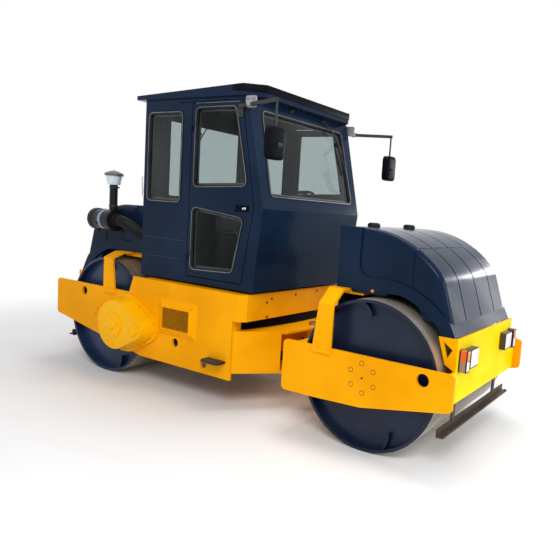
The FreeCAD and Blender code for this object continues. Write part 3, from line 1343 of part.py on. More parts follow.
# ---- inside the cab ---------------------------------------------------------------------
floor_wall = size("floor_wall", 30, "thickness of the cab's floor")
foot_radius = size("foot_radius", 40, "rubber feet under the cab")
foot_rear = size("foot_rear", 850, "rear feet, behind the origin")
foot_front = size("foot_front", 150, "front feet, ahead of the origin")
foot_inset = size("foot_inset", 180, "feet inside the cab's sides")
seat_x = size("seat_x", 560, "middle of the seat, behind the origin")
seat_y = size("seat_y", 180, "seat off the centre line, to the left")
seat_half = size("seat_half", 250, "half size of the seat cushion")
seat_lift = size("seat_lift", 300, "height of the seat's pedestal")
pedestal_half = size("pedestal_half", 180, "half size of that pedestal")
cushion_thick = size("cushion_thick", 130, "thickness of the cushion")
back_thick = size("back_thick", 120, "thickness of the backrest")
back_rise = size("back_rise", 600, "top of the backrest above the pedestal")
back_behind = size("back_behind", 50, "how far the backrest stands out behind the cushion")
soft_round = size("soft_round", 40, "rounded edges of the cushions")
floor_top = cab_low + floor_wall
chin_slope = (belt_x - chin_x) * floor_wall / (belt_z - cab_low)
floor_profile = [
    (cab_wall - cab_rear, cab_low), (chin_x - cab_wall, cab_low),
    (chin_x - cab_wall + chin_slope, floor_top),
    (cab_wall - cab_rear, floor_top),
]
foot_y = cab_half - foot_inset
feet = [
    rod(f"cab_foot_{end}_{side}", "z", (x, y, rear_deck), foot_radius, cab_lift)
    for end, x in (("rear", -foot_rear), ("front", foot_front))
    for side, y in (("right", -foot_y), ("left", foot_y))
]
node(fuse(
    "cab_floor",
    plate("floor_sheet", "xz", floor_profile, 2 * inner_half, (0, 0, 0), (), (), True),
    box("seat_pedestal", (-seat_x - pedestal_half, seat_y - pedestal_half, floor_top - weld_lap),
        (pedestal_half - seat_x, seat_y + pedestal_half, floor_top + seat_lift)),
    *feet,
))
cushion_low = floor_top + seat_lift
cushion_top = cushion_low + cushion_thick
cushion_front = seat_half - seat_x
back_rear = -seat_x - seat_half - back_behind
back_front = back_rear + back_thick
back_top = cushion_low + back_rise
cushion = [
    (back_rear, cushion_low), (cushion_front, cushion_low), (cushion_front, cushion_top),
    (back_front, cushion_top), (back_front, back_top), (back_rear, back_top),
]
cushions = plate("operator_seat", "xz", cushion, 2 * seat_half, (0, seat_y, 0), (), (), True)
rounded(cushions, [(u, seat_y, v) for u, v in (cushion[2], cushion[4], cushion[5])], soft_round)
node(cushions)

console_x = size("console_x", 60, "middle of the steering console")
console_half = size("console_half", 80, "half depth of the console")
console_wide = size("console_wide", 130, "half width of the console")
console_high = size("console_high", 600, "height of the console")
column_back = size("column_back", 30, "steering column behind the console's middle")
column_radius = size("column_radius", 35, "steering column")
wheel_z = size("wheel_z", 1960, "height of the steering wheel")
wheel_radius = size("wheel_radius", 200, "steering wheel")
rim_half = size("rim_half", 14, "half thickness of its rim")
hub_round = size("hub_round", 50, "hub of the steering wheel")
spoke_half = size("spoke_half", 15, "half width of its spokes")
spoke_wall = size("spoke_wall", 8, "half thickness of its spokes")
WHEEL_TILT = -18  # degrees that the wheel leans towards the driver
rim = [
    (wheel_radius - rim_half, -rim_half / 2), (wheel_radius, -rim_half), (wheel_radius + rim_half, 0),
    (wheel_radius, rim_half), (wheel_radius - rim_half, rim_half / 2),
]
column_x = console_x - column_back
wheel = fuse(
    "steering_wheel",
    turned("wheel_rim", rim, (0, 0, 0), "xz"),
    rod("wheel_hub", "z", (0, 0, -rim_half), hub_round, 2 * rim_half),
    box("wheel_spoke_x", (-wheel_radius, -spoke_half, -spoke_wall), (wheel_radius, spoke_half, spoke_wall)),
    box("wheel_spoke_y", (-spoke_half, -wheel_radius, -spoke_wall), (spoke_half, wheel_radius, spoke_wall)),
)
place(wheel, (column_x, seat_y, wheel_z), Rotation(Vector(0, 1, 0), WHEEL_TILT))
node(fuse(
    "steering_console",
    box("console_body", (console_x - console_half, seat_y - console_wide, floor_top),
        (console_x + console_half, seat_y + console_wide, floor_top + console_high)),
    rod("console_column", "z", (column_x, seat_y, floor_top + console_high - weld_lap), column_radius,
        wheel_z - floor_top - console_high + weld_lap),
    wheel,
))

# ---- mirrors ----------------------------------------------------------------------------
mirror_x = size("mirror_x", 680, "mirror heads ahead of the origin")
mirror_reach = size("mirror_reach", 180, "mirror heads beside the cab's side")
mirror_low = size("mirror_low", 2225, "lower end of a mirror head")
mirror_high = size("mirror_high", 2470, "upper end of a mirror head")
mirror_half = size("mirror_half", 85, "half width of a mirror head")
mirror_deep = size("mirror_deep", 50, "depth of a mirror head")
mirror_round = size("mirror_round", 40, "rounding of a mirror head")
arm_z = size("arm_z", 2700, "height of the mirror arms")
mirror_rod = size("mirror_rod", 9, "drop rods of the mirrors")
mirror_arm = size("mirror_arm", 30, "height of the flat mirror arms")
mirror_flat = size("mirror_flat", 12, "thickness of the flat mirror arms")
bracket_x = size("bracket_x", 120, "rear end of the mirror bracket on the cab's corner")
bracket_long = size("bracket_long", 60, "length of that bracket")
bracket_high = size("bracket_high", 110, "height of that bracket")
mirror_y = -cab_half - mirror_reach
arm_corners = [
    (bracket_x, -cab_half), (bracket_x + bracket_long, -cab_half), (mirror_x + mirror_flat, mirror_y),
    (mirror_x + mirror_flat, mirror_y - mirror_flat), (mirror_x - mirror_flat, mirror_y - mirror_flat),
    (bracket_x, -cab_half - mirror_flat),
]
head_corners = [
    (mirror_y - mirror_half, mirror_low), (mirror_y + mirror_half, mirror_low),
    (mirror_y + mirror_half, mirror_high),
    (mirror_y - mirror_half, mirror_high),
]
head = plate("right_mirror_head", "yz", head_corners, mirror_deep, (mirror_x - mirror_deep / 2, 0, 0))
rounded(head, [(mirror_deep / 2, u, v) for u, v in head_corners], mirror_round)
right_mirror = fuse(
    "right_mirror",
    box("mirror_bracket", (bracket_x, -cab_half - mirror_flat, arm_z - bracket_high),
        (bracket_x + bracket_long, -cab_half, arm_z)),
    plate("mirror_arm_plate", "xy", arm_corners, mirror_arm, (0, 0, arm_z - mirror_arm)),
    rod("mirror_drop", "z", (mirror_x, mirror_y, mirror_high - weld_lap), mirror_rod, arm_z - mirror_high),
    head,
)
node(group("mirrors", right_mirror, mirrored("left_mirror", right_mirror)))

# ---- checks and export ------------------------------------------------------------------
doc.recompute()
for thing in doc.Objects:
    if "Invalid" in thing.State or "Error" in thing.State:
        raise RuntimeError(f"{thing.Name} failed to build")
os.makedirs("parts", exist_ok=True)
for thing in nodes:
    shape = thing.Shape
    if shape.isNull() or not shape.isValid() or shape.Volume <= 0:
        raise RuntimeError(f"{thing.Label} has no valid shape")
    shape.exportStep(f"parts/{thing.Label}.step")
print(len(nodes), "nodes")
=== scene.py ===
# %% [markdown]
# # A tandem road roller, finished on its CAD frame
# The frame comes in with every plate, drum and panel at its real place. This lesson adds what a workshop
# adds last: paint, rubber, window seals, bolts, lamps, wipers and the cab's fittings. Lengths are metres,
# +X points forward, +Y to the operator's left and +Z up.

# %% Load the frame
import json
import math

import bmesh
import bpy
from mathutils import Matrix, Vector


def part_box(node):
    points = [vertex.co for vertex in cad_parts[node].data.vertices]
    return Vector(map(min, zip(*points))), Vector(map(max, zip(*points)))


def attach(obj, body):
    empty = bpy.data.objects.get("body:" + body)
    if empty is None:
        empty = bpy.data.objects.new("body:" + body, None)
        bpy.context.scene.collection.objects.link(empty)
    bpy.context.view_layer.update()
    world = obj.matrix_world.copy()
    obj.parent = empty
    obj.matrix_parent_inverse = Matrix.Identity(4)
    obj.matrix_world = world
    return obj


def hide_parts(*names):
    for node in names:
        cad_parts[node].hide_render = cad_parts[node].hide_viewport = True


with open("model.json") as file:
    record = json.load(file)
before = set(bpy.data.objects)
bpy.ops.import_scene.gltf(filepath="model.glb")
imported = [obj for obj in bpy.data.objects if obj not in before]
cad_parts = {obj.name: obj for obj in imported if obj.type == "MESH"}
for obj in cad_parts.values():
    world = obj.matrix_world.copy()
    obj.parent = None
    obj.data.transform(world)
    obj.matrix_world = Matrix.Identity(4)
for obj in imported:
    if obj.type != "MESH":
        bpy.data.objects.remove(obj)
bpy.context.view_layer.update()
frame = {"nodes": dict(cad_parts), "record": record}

nodes = frame["nodes"]

# %% [markdown]
# The camera stands ahead of the machine on its right side, a little above head height. A camera looks along
# its own -Z, so its matrix is a turn about the vertical, a tilt up from straight down, and a small roll
# about the line of sight.

# %% Camera
CAMERA_PLACE = (3.6814, -4.6301, 1.843)
HEADING, LOOK_DOWN, ROLL = 31.015, 6.705, 4.295   # degrees


def spin(degrees, axis):
    return Matrix.Rotation(math.radians(degrees), 4, axis)


camera_data = bpy.data.cameras.new("camera")
camera_data.sensor_width, camera_data.lens = 36.0, 37.21
camera_data.shift_x, camera_data.shift_y = -0.1268, 0.0025
camera = bpy.data.objects.new("camera", camera_data)
bpy.context.scene.collection.objects.link(camera)
camera.matrix_world = (
    Matrix.Translation(CAMERA_PLACE) @ spin(HEADING, "Z") @ spin(90 - LOOK_DOWN, "X") @ spin(ROLL, "Z")
)
bpy.context.scene.camera = camera
print("camera at", tuple(round(v, 2) for v in camera.location), "lens", round(camera_data.lens, 2))

# %% [markdown]
# Shader sums are easier to read as Python. `Flow` stands for one output of a node, and adding or multiplying
# two of them adds a Math node.

# %% Sums of shader values
def sum_of(operation, reflected=False):
    """A method of Flow that adds one Math node."""
    def method(self, other):
        return self.finish.math(operation, *((other, self) if reflected else (self, other)))
    return method


class Flow:
    """The output of a shader node, for use in sums."""

    def __init__(self, finish, socket):
        self.finish = finish
        self.socket = socket

    __add__, __radd__ = sum_of("ADD"), sum_of("ADD", True)
    __sub__, __rsub__ = sum_of("SUBTRACT"), sum_of("SUBTRACT", True)
    __mul__, __gt__, __lt__ = sum_of("MULTIPLY"), sum_of("GREATER_THAN"), sum_of("LESS_THAN")


print("sums ready")

# %% [markdown]
# `Finish` is one material. Its `node` method adds any node: the settings go in first, because they decide
# which sockets there are. The other methods are short names for the nodes that most finishes need.

# %% One material, node by node
class Finish:
    """One material, built node by node."""

    def __init__(self, name):
        self.material = bpy.data.materials.new(name)
        self.material.use_nodes = True
        self.tree = self.material.node_tree
        self.tree.nodes.clear()

    def node(self, kind, settings=None, sockets=None, output=0):
        """Adds a node: its settings first, then the values or links of its sockets."""
        made = self.tree.nodes.new("ShaderNode" + kind)
        for setting, value in (settings or {}).items():
            setattr(made, setting, value)
        for socket, value in (sockets or {}).items():
            if isinstance(value, Flow):
                self.tree.links.new(value.socket, made.inputs[socket])
            else:
                made.inputs[socket].default_value = value
        return Flow(self, made.outputs[output]) if made.outputs else None

    def math(self, operation, *values):
        return self.node("Math", {"operation": operation}, dict(enumerate(values)))

    def place(self, stretch=None):
        """The object coordinates, stretched if asked."""
        place = self.node("TexCoord", output="Object")
        return self.node("Mapping", {}, {"Vector": place, "Scale": stretch}) if stretch else place

    def axes(self):
        """The three object coordinates, as separate values."""
        made = self.node("SeparateXYZ", {}, {"Vector": self.place()}).socket.node
        return [Flow(self, made.outputs[i]) for i in range(3)]

    def facing(self, way):
        """Above 0 where a face looks along the way, 1 where it looks straight along a way of length 1."""
        normal = self.node("TexCoord", output="Normal")
        return self.node("VectorMath", {"operation": "DOT_PRODUCT"}, {0: way, 1: normal}, output="Value")

    def grain(self, scale, detail=3.0, stretch=None):
        """Soft random mottling between 0 and 1, about 0.5 on average."""
        return self.node("TexNoise", {}, {"Vector": self.place(stretch), "Scale": scale, "Detail": detail})

    def step(self, value, low, high):
        """0 below low, 1 above high, smooth in between."""
        return self.node("MapRange", {"interpolation_type": "SMOOTHSTEP"}, {0: value, 1: low, 2: high})

    def above(self, value, edge, soft=0.002):
        """A sharp step at an edge."""
        return self.step(value, edge, edge + soft)

    def between(self, value, low, high, soft=0.002):
        """1 from low to high, and 0 outside."""
        return self.above(value, low, soft) * (1.0 - self.above(value, high - soft, soft))

    def tint(self, mask, first, second):
        """The first colour where the mask is 0, the second where it is 1."""
        colours = [c if isinstance(c, Flow) else (*c, 1.0) for c in (first, second)]
        return self.node("Mix", {"data_type": "RGBA"}, {0: mask, 6: colours[0], 7: colours[1]}, output=2)

    def bump(self, height, strength, distance=0.001):
        return self.node("Bump", {}, {"Height": height, "Strength": strength, "Distance": distance})

    def shade(self, **sockets):
        """Ends the material in a Principled shader; underscores in the names stand for spaces."""
        values = {name.replace("_", " "): value for name, value in sockets.items()}
        self.node("OutputMaterial", {}, {"Surface": self.node("BsdfPrincipled", {}, values)})
        return self.material


print("a finish can add any node")

# %% [markdown]
# Machine paint is sprayed thick and left glossy. Seen close it isn't one colour: the coat is a little uneven,
# dust settles on it, and the gloss varies from place to place. So each paint starts from one colour, is
# mottled at a metre's scale, and gets a thin film of dust low down and a fine ripple. The navy also gets a
# thin clear coat. The cab's sheets are painted outside and lined with dark trim inside, so their paint tells
# the faces that look into the cab from the others.

# %% Paints
ROOM_X, ROOM_Y, ROOM_Z = (-1.060, 0.440), 0.770, (1.118, 2.779)   # inside the cab's walls
ROOM_MIDDLE = (-0.4, 0.0, 2.0)
LINING = (0.020, 0.018, 0.019)


def shade_of(colour, share):
    return tuple(share * c for c in colour)


def paint(name, colour, dust, roughness, coat, dusty, shine, lined=False, flank=None):
    finish = Finish(name)
    x, y, z = finish.axes()
    broad = finish.grain(1.3)
    fine = finish.grain(38.0, 4.0)
    low = 1.0 - finish.step(z, 0.2, 1.3)
    film = finish.step(broad * 0.6 + fine * 0.5, 0.42, 0.8) * (0.25 + low * 0.75) * dusty
    darker = shade_of(colour, 0.86)
    lighter = tuple(min(1.0, 1.08 * c + 0.002) for c in colour)
    base = finish.tint(film, finish.tint(finish.step(broad, 0.35, 0.65), darker, lighter), dust)
    if lined:
        room = (finish.math("ABSOLUTE", y) < ROOM_Y) * (x > ROOM_X[0]) * (x < ROOM_X[1])
        room = room * (z < ROOM_Z[1]) * (z > ROOM_Z[0])
        inwards = finish.node("VectorMath", {"operation": "SUBTRACT"}, {0: ROOM_MIDDLE, 1: finish.place()})
        base = finish.tint(room * (finish.facing(inwards) > 0.0), base, LINING)
    # Where a flank colour is given, faces that don't look forward take it: painted light and shade set by
    # which way a face looks.
    if flank:
        base = finish.tint(finish.facing((1.0, 0.0, 0.0)) < 0.6, base, flank)
    ripple = finish.grain(30.0, 1.0)
    return finish.shade(
        Base_Color=base, Roughness=roughness + film * 0.5 + (fine - 0.5) * 0.08,
        Normal=finish.bump(ripple * 0.9 + fine * 0.1, 0.02),
        Coat_Weight=coat, Coat_Roughness=0.05, Specular_IOR_Level=shine,
    )


DUST = (0.30, 0.25, 0.19)
DEEP_NAVY = (0.0040, 0.0150, 0.040)
ORANGE = (1.0, 0.39, 0.0)
navy = paint("navy_gloss", DEEP_NAVY, DUST, 0.16, 0.04, 0.03, 0.06)
cab_navy = paint("navy_gloss_lined", DEEP_NAVY, DUST, 0.16, 0.04, 0.03, 0.06, lined=True)
orange = paint("orange_enamel", ORANGE, (0.70, 0.28, 0.0), 0.32, 0.0, 0.08, 0.035)
# The front panel: forward faces are painted a lighter yellow and the other faces a deeper orange, as painted
# light and shade.
lit_front_yellow = paint(
    "yellow_lit_front_enamel", (1.0, 0.72, 0.0), (0.72, 0.45, 0.0), 0.32, 0.0, 0.08, 0.012, flank=(1.0, 0.43, 0.0),
)
gear_enamel = paint("gear_enamel", (1.0, 0.46, 0.0), (0.70, 0.30, 0.0), 0.22, 0.06, 0.05, 0.06)
near_black = paint("near_black", (0.0035, 0.0045, 0.0075), DUST, 0.4, 0.0, 0.0, 0.02)
print("paints:", navy.name, orange.name, lit_front_yellow.name)

# %% [markdown]
# The rest of the machine needs only a few more finishes: bare and chromed steel, black satin metal, rubber
# and moulded plastic, and then rolled steel, glass, lamp lenses and seat cloth. Each has its own grain at its
# own scale, because that is what tells rubber from paint when both are black.

# %% Metals, rubber and plastic
DULL_SHINE = 0.25
SPECKS = 0.2   # the fine grain's share in the colour


def plain_metal(name, colour, roughness, metallic, grain_scale, grain_depth, stretch=None):
    finish = Finish(name)
    broad = finish.grain(3.0)
    fine = finish.grain(grain_scale, 5.0, stretch)
    darker = shade_of(colour, 0.75)
    lighter = tuple(min(1.0, 1.2 * c + 0.004) for c in colour)
    base = finish.tint(finish.step(broad * (1 - SPECKS) + fine * SPECKS, 0.36, 0.64), darker, lighter)
    return finish.shade(
        Base_Color=base, Metallic=metallic, Roughness=roughness + (fine - 0.5) * 0.25,
        Normal=finish.bump(fine, grain_depth), Specular_IOR_Level=DULL_SHINE,
    )


black_satin = plain_metal("black_satin", (0.018, 0.018, 0.020), 0.42, 0.0, 60.0, 0.12)
brown_black = plain_metal("brown_black", (0.045, 0.028, 0.020), 0.5, 0.0, 45.0, 0.2)
cast = plain_metal("cast_iron", (0.05, 0.05, 0.055), 0.65, 0.3, 55.0, 0.45)
bare_steel = plain_metal("bare_steel", (0.46, 0.46, 0.47), 0.34, 1.0, 90.0, 0.15, (1.0, 1.0, 0.15))
zinc = plain_metal("zinc_plate", (0.52, 0.50, 0.44), 0.38, 0.9, 140.0, 0.12)
chrome = plain_metal("hard_chrome", (0.72, 0.73, 0.75), 0.09, 1.0, 260.0, 0.02)
rubber = plain_metal("rubber", (0.012, 0.012, 0.013), 0.62, 0.0, 190.0, 0.25)
moulded = plain_metal("moulded_plastic", (0.022, 0.022, 0.025), 0.5, 0.0, 320.0, 0.3)
print("metals and rubber ready")

# %% [markdown]
# A drum is one rolled shell, but it shows two finishes. The running surface is scoured bright by gravel, in
# streaks that go round the drum, and the end faces are painted up to their edge. The material tells them
# apart by the distance from the axle and by the way a face looks, so it needs the axle's place.

# %% Drum
STEEL_TONES = ((0.34, 0.30, 0.25), (0.66, 0.60, 0.50))
DRUM_NAVY = ((0.0055, 0.012, 0.032), (0.009, 0.018, 0.046))


def drum_finish(name, node, painted_light_gain=1.0):
    low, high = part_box(node)
    axle = (low + high) / 2
    radius = (high.z - low.z) / 2
    finish = Finish(name)
    x, _, z = finish.axes()
    reach = finish.math("SQRT", (x - axle.x) * (x - axle.x) + (z - axle.z) * (z - axle.z))
    sideways = finish.facing((0.0, 1.0, 0.0))
    rolled = finish.above(reach, radius - 0.006, 0.003) * (sideways * sideways < 0.5)
    streaks = finish.node("TexNoise", {}, {
        "Vector": finish.place((0.9, 26.0, 0.9)), "Scale": 3.0, "Detail": 5.0, "Roughness": 0.6,
    })
    blotches = finish.grain(2.6, 4.0)
    fine = finish.grain(70.0)
    steel = finish.tint(finish.step(streaks * 0.5 + blotches * 0.5, 0.38, 0.66), *STEEL_TONES)
    # A gain above 1 paints light into the navy of the end faces.
    painted = finish.tint(finish.step(blotches, 0.35, 0.7), *(shade_of(tone, painted_light_gain) for tone in DRUM_NAVY))
    return finish.shade(
        Base_Color=finish.tint(rolled, painted, steel), Metallic=rolled * 0.75,
        Roughness=0.32 + rolled * 0.12 + (streaks - 0.5) * 0.2,
        Normal=finish.bump(streaks * 0.6 + fine * 0.4, 0.08),
        Coat_Weight=(1.0 - rolled) * 0.08, Coat_Roughness=0.08, Specular_IOR_Level=DULL_SHINE,
    )


front_drum_paint = drum_finish("front_drum_finish", "front_drum")
# The rear drum's navy is painted 2.2 times lighter: painted light, because its end faces show brighter than
# the front drum's.
rear_drum_lit_paint = drum_finish("rear_drum_finish_painted_light", "rear_drum", painted_light_gain=2.2)
print("drum finishes ready")

# %% [markdown]
# Panes are thin and hardly tinted. A real pane bends light so little that it's drawn here as a mix of a clear
# shader and a mirror, with more mirror at a glancing angle and a little more where the pane is smeared.

# %% Glass
SMEAR_SHARE = 0.02
GLANCE_SHARE = 0.35
finish = Finish("cab_glass")
smear = finish.step(finish.grain(2.2, 5.0, (1.0, 1.0, 0.35)), 0.45, 0.8)
glancing = finish.node("LayerWeight", {}, {"Blend": 0.5}, output=1)
clear = finish.node("BsdfTransparent", {}, {"Color": (0.74, 0.78, 0.78, 1.0)})
gloss = finish.node("BsdfGlossy", {}, {"Color": (0.95, 0.96, 0.97, 1.0), "Roughness": 0.03 + smear * 0.05})
pane = finish.node("MixShader", {}, {
    0: glancing * glancing * glancing * GLANCE_SHARE + smear * SMEAR_SHARE, 1: clear, 2: gloss,
})
finish.node("OutputMaterial", {}, {"Surface": pane})
clear_glass = finish.material
print("glass ready")

# %% [markdown]
# Lamp lenses are pressed with fine flutes that spread the beam. Flutes this fine are cheaper and smoother as
# a wave in the bump than as real grooves. The seat's cloth is a fine checker of threads, with some sheen.

# %% Lenses and cloth
def lens_plastic(name, colour, flutes):
    finish = Finish(name)
    wave = finish.node("TexWave", {"bands_direction": "Y"}, {
        "Vector": finish.place((0.0, flutes, flutes * 0.4)), "Scale": 1.0,
    })
    grain = finish.grain(30.0, 2.0)
    return finish.shade(
        Base_Color=finish.tint(grain, shade_of(colour, 0.9), colour), Roughness=0.12 + grain * 0.06,
        Normal=finish.bump(wave, 0.35, 0.002), Coat_Weight=0.6, Coat_Roughness=0.03,
    )


white_lens = lens_plastic("white_lens", (0.80, 0.82, 0.80), 40.0)
amber_lens = lens_plastic("amber_lens", (0.90, 0.22, 0.01), 70.0)

THREADS = 520.0   # to a metre
CLOTH = (0.045, 0.047, 0.055)
finish = Finish("seat_cloth")
weave = finish.node("TexChecker", {}, {"Vector": finish.place((THREADS,) * 3), "Scale": 1.0}, output=1)
broad = finish.grain(9.0, 4.0)
fine = finish.grain(240.0, 2.0)
thread = finish.tint(finish.step(broad * 0.6 + weave * 0.4, 0.2, 0.8), shade_of(CLOTH, 0.6), CLOTH)
seat_cloth = finish.shade(
    Base_Color=thread, Roughness=0.85, Normal=finish.bump(weave * 0.5 + fine * 0.5, 0.35), Sheen_Weight=0.3,
)
print("lenses and cloth ready")

# %% [markdown]
# Some CAD pieces show more than one finish: an air cleaner has a dark canister with a painted reflection in a
# pale band round it, and a rubber hose, and its bowl has a dark lid. Their shapes are right, so they keep
# their meshes, and a mask made from the object coordinates says where each finish goes.

# %% Air cleaner and its bowl
class PartFinish(Finish):
    """A material for one CAD node, with the node's box, the coordinates and a fine grain at hand."""

    def __init__(self, name, node, scale, detail=4.0):
        super().__init__(name)
        self.low, self.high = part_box(node)
        self.x, self.y, self.z = self.axes()
        self.fine = self.grain(scale, detail)


air = PartFinish("air_cleaner_finish", "air_cleaner", 60.0)
SHEEN_BAND_X, HOSE_X = air.low.x + 0.16, air.low.x + 0.320
# The band round the canister's middle is pale blue-grey and partly metallic: a painted reflection of a bright
# light.
band = air.between(air.x, SHEEN_BAND_X - 0.035, SHEEN_BAND_X + 0.035, 0.005)
canister = 1.0 - air.above(air.x, HOSE_X)
lids = 1.0 - air.above(air.x, air.low.x + 0.044) + air.above(air.x, air.low.x + 0.274) * canister
shell = air.tint(lids, air.tint(air.fine, (0.012, 0.013, 0.018), (0.022, 0.022, 0.028)), (0.010, 0.009, 0.010))
air_cleaner_paint = air.shade(
    Base_Color=air.tint(canister, (0.006, 0.006, 0.007), air.tint(band, shell, (0.24, 0.30, 0.42))),
    Metallic=band * 0.7, Roughness=0.5 - canister * 0.25 + (air.fine - 0.5) * 0.2,
    Normal=air.bump(air.fine, 0.15), Specular_IOR_Level=0.15,
)

bowl = PartFinish("pre_cleaner_finish", "pre_cleaner", 80.0, 3.0)
lid = bowl.above(bowl.z, bowl.low.z + 0.088)
clear_wall = bowl.tint(bowl.step(bowl.fine, 0.3, 0.7), (0.50, 0.60, 0.66), (0.66, 0.74, 0.78))
bowl_plastic = bowl.shade(
    Base_Color=bowl.tint(lid, clear_wall, (0.07, 0.085, 0.095)), Roughness=0.18 + lid * 0.3,
    Normal=bowl.bump(bowl.fine, 0.05), Coat_Weight=0.4,
)
print("air cleaner's band at x", round(SHEEN_BAND_X, 3), "and its hose from x", round(HOSE_X, 3))

# %% [markdown]
# The lamp housings are brown-black, and outboard of each headlight the marker lamp's housing is amber in its
# upper half and grey-pink in its lower half. The engine block is oily iron, which is two darks in patches.

# %% Lamp housings and the engine
MARKER_Y, MARKER_SPLIT = 0.618, 0.823
lamp = PartFinish("lamp_housings", "front_lamps", 90.0, 3.0)
marker = lamp.above(lamp.math("ABSOLUTE", lamp.y), MARKER_Y) * lamp.above(lamp.x, lamp.low.x + 0.012)
housing = lamp.tint(lamp.step(lamp.fine, 0.3, 0.7), (0.030, 0.017, 0.012), (0.055, 0.032, 0.024))
halves = lamp.tint(lamp.above(lamp.z, MARKER_SPLIT, 0.004), (0.30, 0.22, 0.19), (0.75, 0.12, 0.008))
lamp_housing = lamp.shade(
    Base_Color=lamp.tint(marker, housing, halves), Roughness=0.3 + lamp.fine * 0.1,
    Normal=lamp.bump(lamp.fine, 0.1),
)

engine = PartFinish("engine_finish", "engine_block", 25.0, 6.0)
oily = engine.step(engine.grain(4.0, 4.0) * 0.5 + engine.fine * 0.5, 0.35, 0.7)
engine_iron = engine.shade(
    Base_Color=engine.tint(oily, (0.02, 0.022, 0.025), (0.07, 0.065, 0.06)), Roughness=0.6,
    Normal=engine.bump(engine.fine, 0.5, 0.004),
)
print("lamp housings split at z", MARKER_SPLIT)

# %% [markdown]
# A side grille is an orange frame round a hollow painted near-black as painted shade, and the cab's floor is a
# navy sheet with a ribbed mat on it. The mat's ribs are a wave in the bump, since nobody sees them closer than
# through a door.

# %% Grille frames and the cab's floor
GRILLE_FRAME = 0.070
MAT_Z = 1.088
grille = PartFinish("grille_finish", "side_grilles", 38.0)
# The recessed faces inside the frame are painted brown-black: painted shade inside the opening.
shaded_hollow = (1.0 - grille.above(grille.math("ABSOLUTE", grille.y), grille.high.y - 0.012)) * grille.between(
    grille.x, grille.low.x + GRILLE_FRAME, grille.high.x - GRILLE_FRAME,
) * grille.between(grille.z, grille.low.z + GRILLE_FRAME, grille.high.z - GRILLE_FRAME)
frame_paint = grille.tint(grille.fine, (0.92, 0.36, 0.0), (1.0, 0.41, 0.0))
grille_paint = grille.shade(
    Base_Color=grille.tint(shaded_hollow, frame_paint, (0.020, 0.010, 0.006)), Roughness=0.34 + grille.fine * 0.1,
    Normal=grille.bump(grille.fine, 0.06), Specular_IOR_Level=0.04,
)

deck = PartFinish("cab_floor_finish", "cab_floor", 120.0)
mat = deck.above(deck.z, MAT_Z)
ribs = deck.node("TexWave", {}, {"Vector": deck.place(), "Scale": 24.0})
floor_mat = deck.shade(
    Base_Color=deck.tint(mat, (0.010, 0.018, 0.05), (0.016, 0.016, 0.018)), Roughness=0.6 + deck.fine * 0.1,
    Normal=deck.bump(ribs * mat + deck.fine * 0.2, 0.3, 0.002),
)
print("grille hollow from x", round(grille.low.x + GRILLE_FRAME, 3), "mat above z", MAT_Z)

# %% [markdown]
# The record says which finish each CAD node takes, as a material slot. A node that needs its own finish is
# named here, and every other takes the one of its slot.

# %% Give every CAD node its finish
own_finish = {
    "front_drum": front_drum_paint, "rear_drum": rear_drum_lit_paint, "front_panel": lit_front_yellow,
    "air_cleaner": air_cleaner_paint, "pre_cleaner": bowl_plastic, "front_lamps": lamp_housing,
    "engine_block": engine_iron, "side_grilles": grille_paint, "cab_floor": floor_mat,
    # The hinge cover is painted near-black, darker than black metal, as painted shade for the gap between the
    # units.
    "filler_caps": rubber, "hinge_cover": near_black, "gear_case": gear_enamel,
    "steering_console": moulded, "mirrors": moulded, "front_scraper": brown_black, "rear_scraper": brown_black,
}
for sheet in (
    "cab_right_side", "cab_left_side", "cab_rear_wall", "cab_front", "cab_roof", "right_door", "left_door",
):
    own_finish[sheet] = cab_navy
by_slot = {
    "navy_paint": navy, "orange_paint": orange, "black_metal": black_satin, "cast_iron": cast,
    "bare_steel": bare_steel, "chrome": chrome, "glass": clear_glass, "seat_cover": seat_cloth,
}
for part in frame["record"]["subparts"]:
    finish = own_finish.get(part["node"]) or by_slot[part["material_slot"]]
    for holder in nodes[part["node"]].material_slots:
        holder.material = finish
print(len(nodes), "nodes finished")

# %% [markdown]
# Every added piece is made in the same few steps. A primitive is added with nothing else selected, shaped in
# edit mode, and then its place is applied, so the mesh itself says where the piece is. These helpers hold
# those steps: faces are selected by the way they look and taken through steps such as an inset and a move.

# %% Modelling helpers
def add(primitive, **settings):
    """A new primitive, alone in the selection."""
    bpy.ops.object.select_all(action="DESELECT")
    getattr(bpy.ops.mesh, f"primitive_{primitive}_add")(**settings)
    return bpy.context.object


def only(*pieces):
    bpy.ops.object.select_all(action="DESELECT")
    for piece in pieces:
        piece.select_set(True)
    bpy.context.view_layer.objects.active = pieces[0]


def edit(piece, mode="FACE"):
    """Opens a piece for editing, with all of it selected."""
    only(piece)
    bpy.ops.object.mode_set(mode="EDIT")
    bpy.ops.mesh.select_mode(type=mode)
    bpy.ops.mesh.select_all(action="SELECT")


def leave():
    bpy.ops.object.mode_set(mode="OBJECT")


def pick(piece, kind, test):
    """Selects the faces or edges that pass the test."""
    bpy.ops.mesh.select_all(action="DESELECT")
    for element in getattr(bmesh.from_edit_mesh(piece.data), kind):
        if test(element):
            element.select_set(True)
    bmesh.update_edit_mesh(piece.data)


STEPS = {
    "inset": lambda rim: bpy.ops.mesh.inset(thickness=rim),
    "move": lambda way: bpy.ops.transform.translate(value=way),
    "scale": lambda size: bpy.ops.transform.resize(value=size),
    "pull": lambda way: bpy.ops.mesh.extrude_region_move(TRANSFORM_OT_translate={"value": way}),
    "swell": lambda by: bpy.ops.mesh.extrude_region_shrink_fatten(TRANSFORM_OT_shrink_fatten={"value": by}),
}


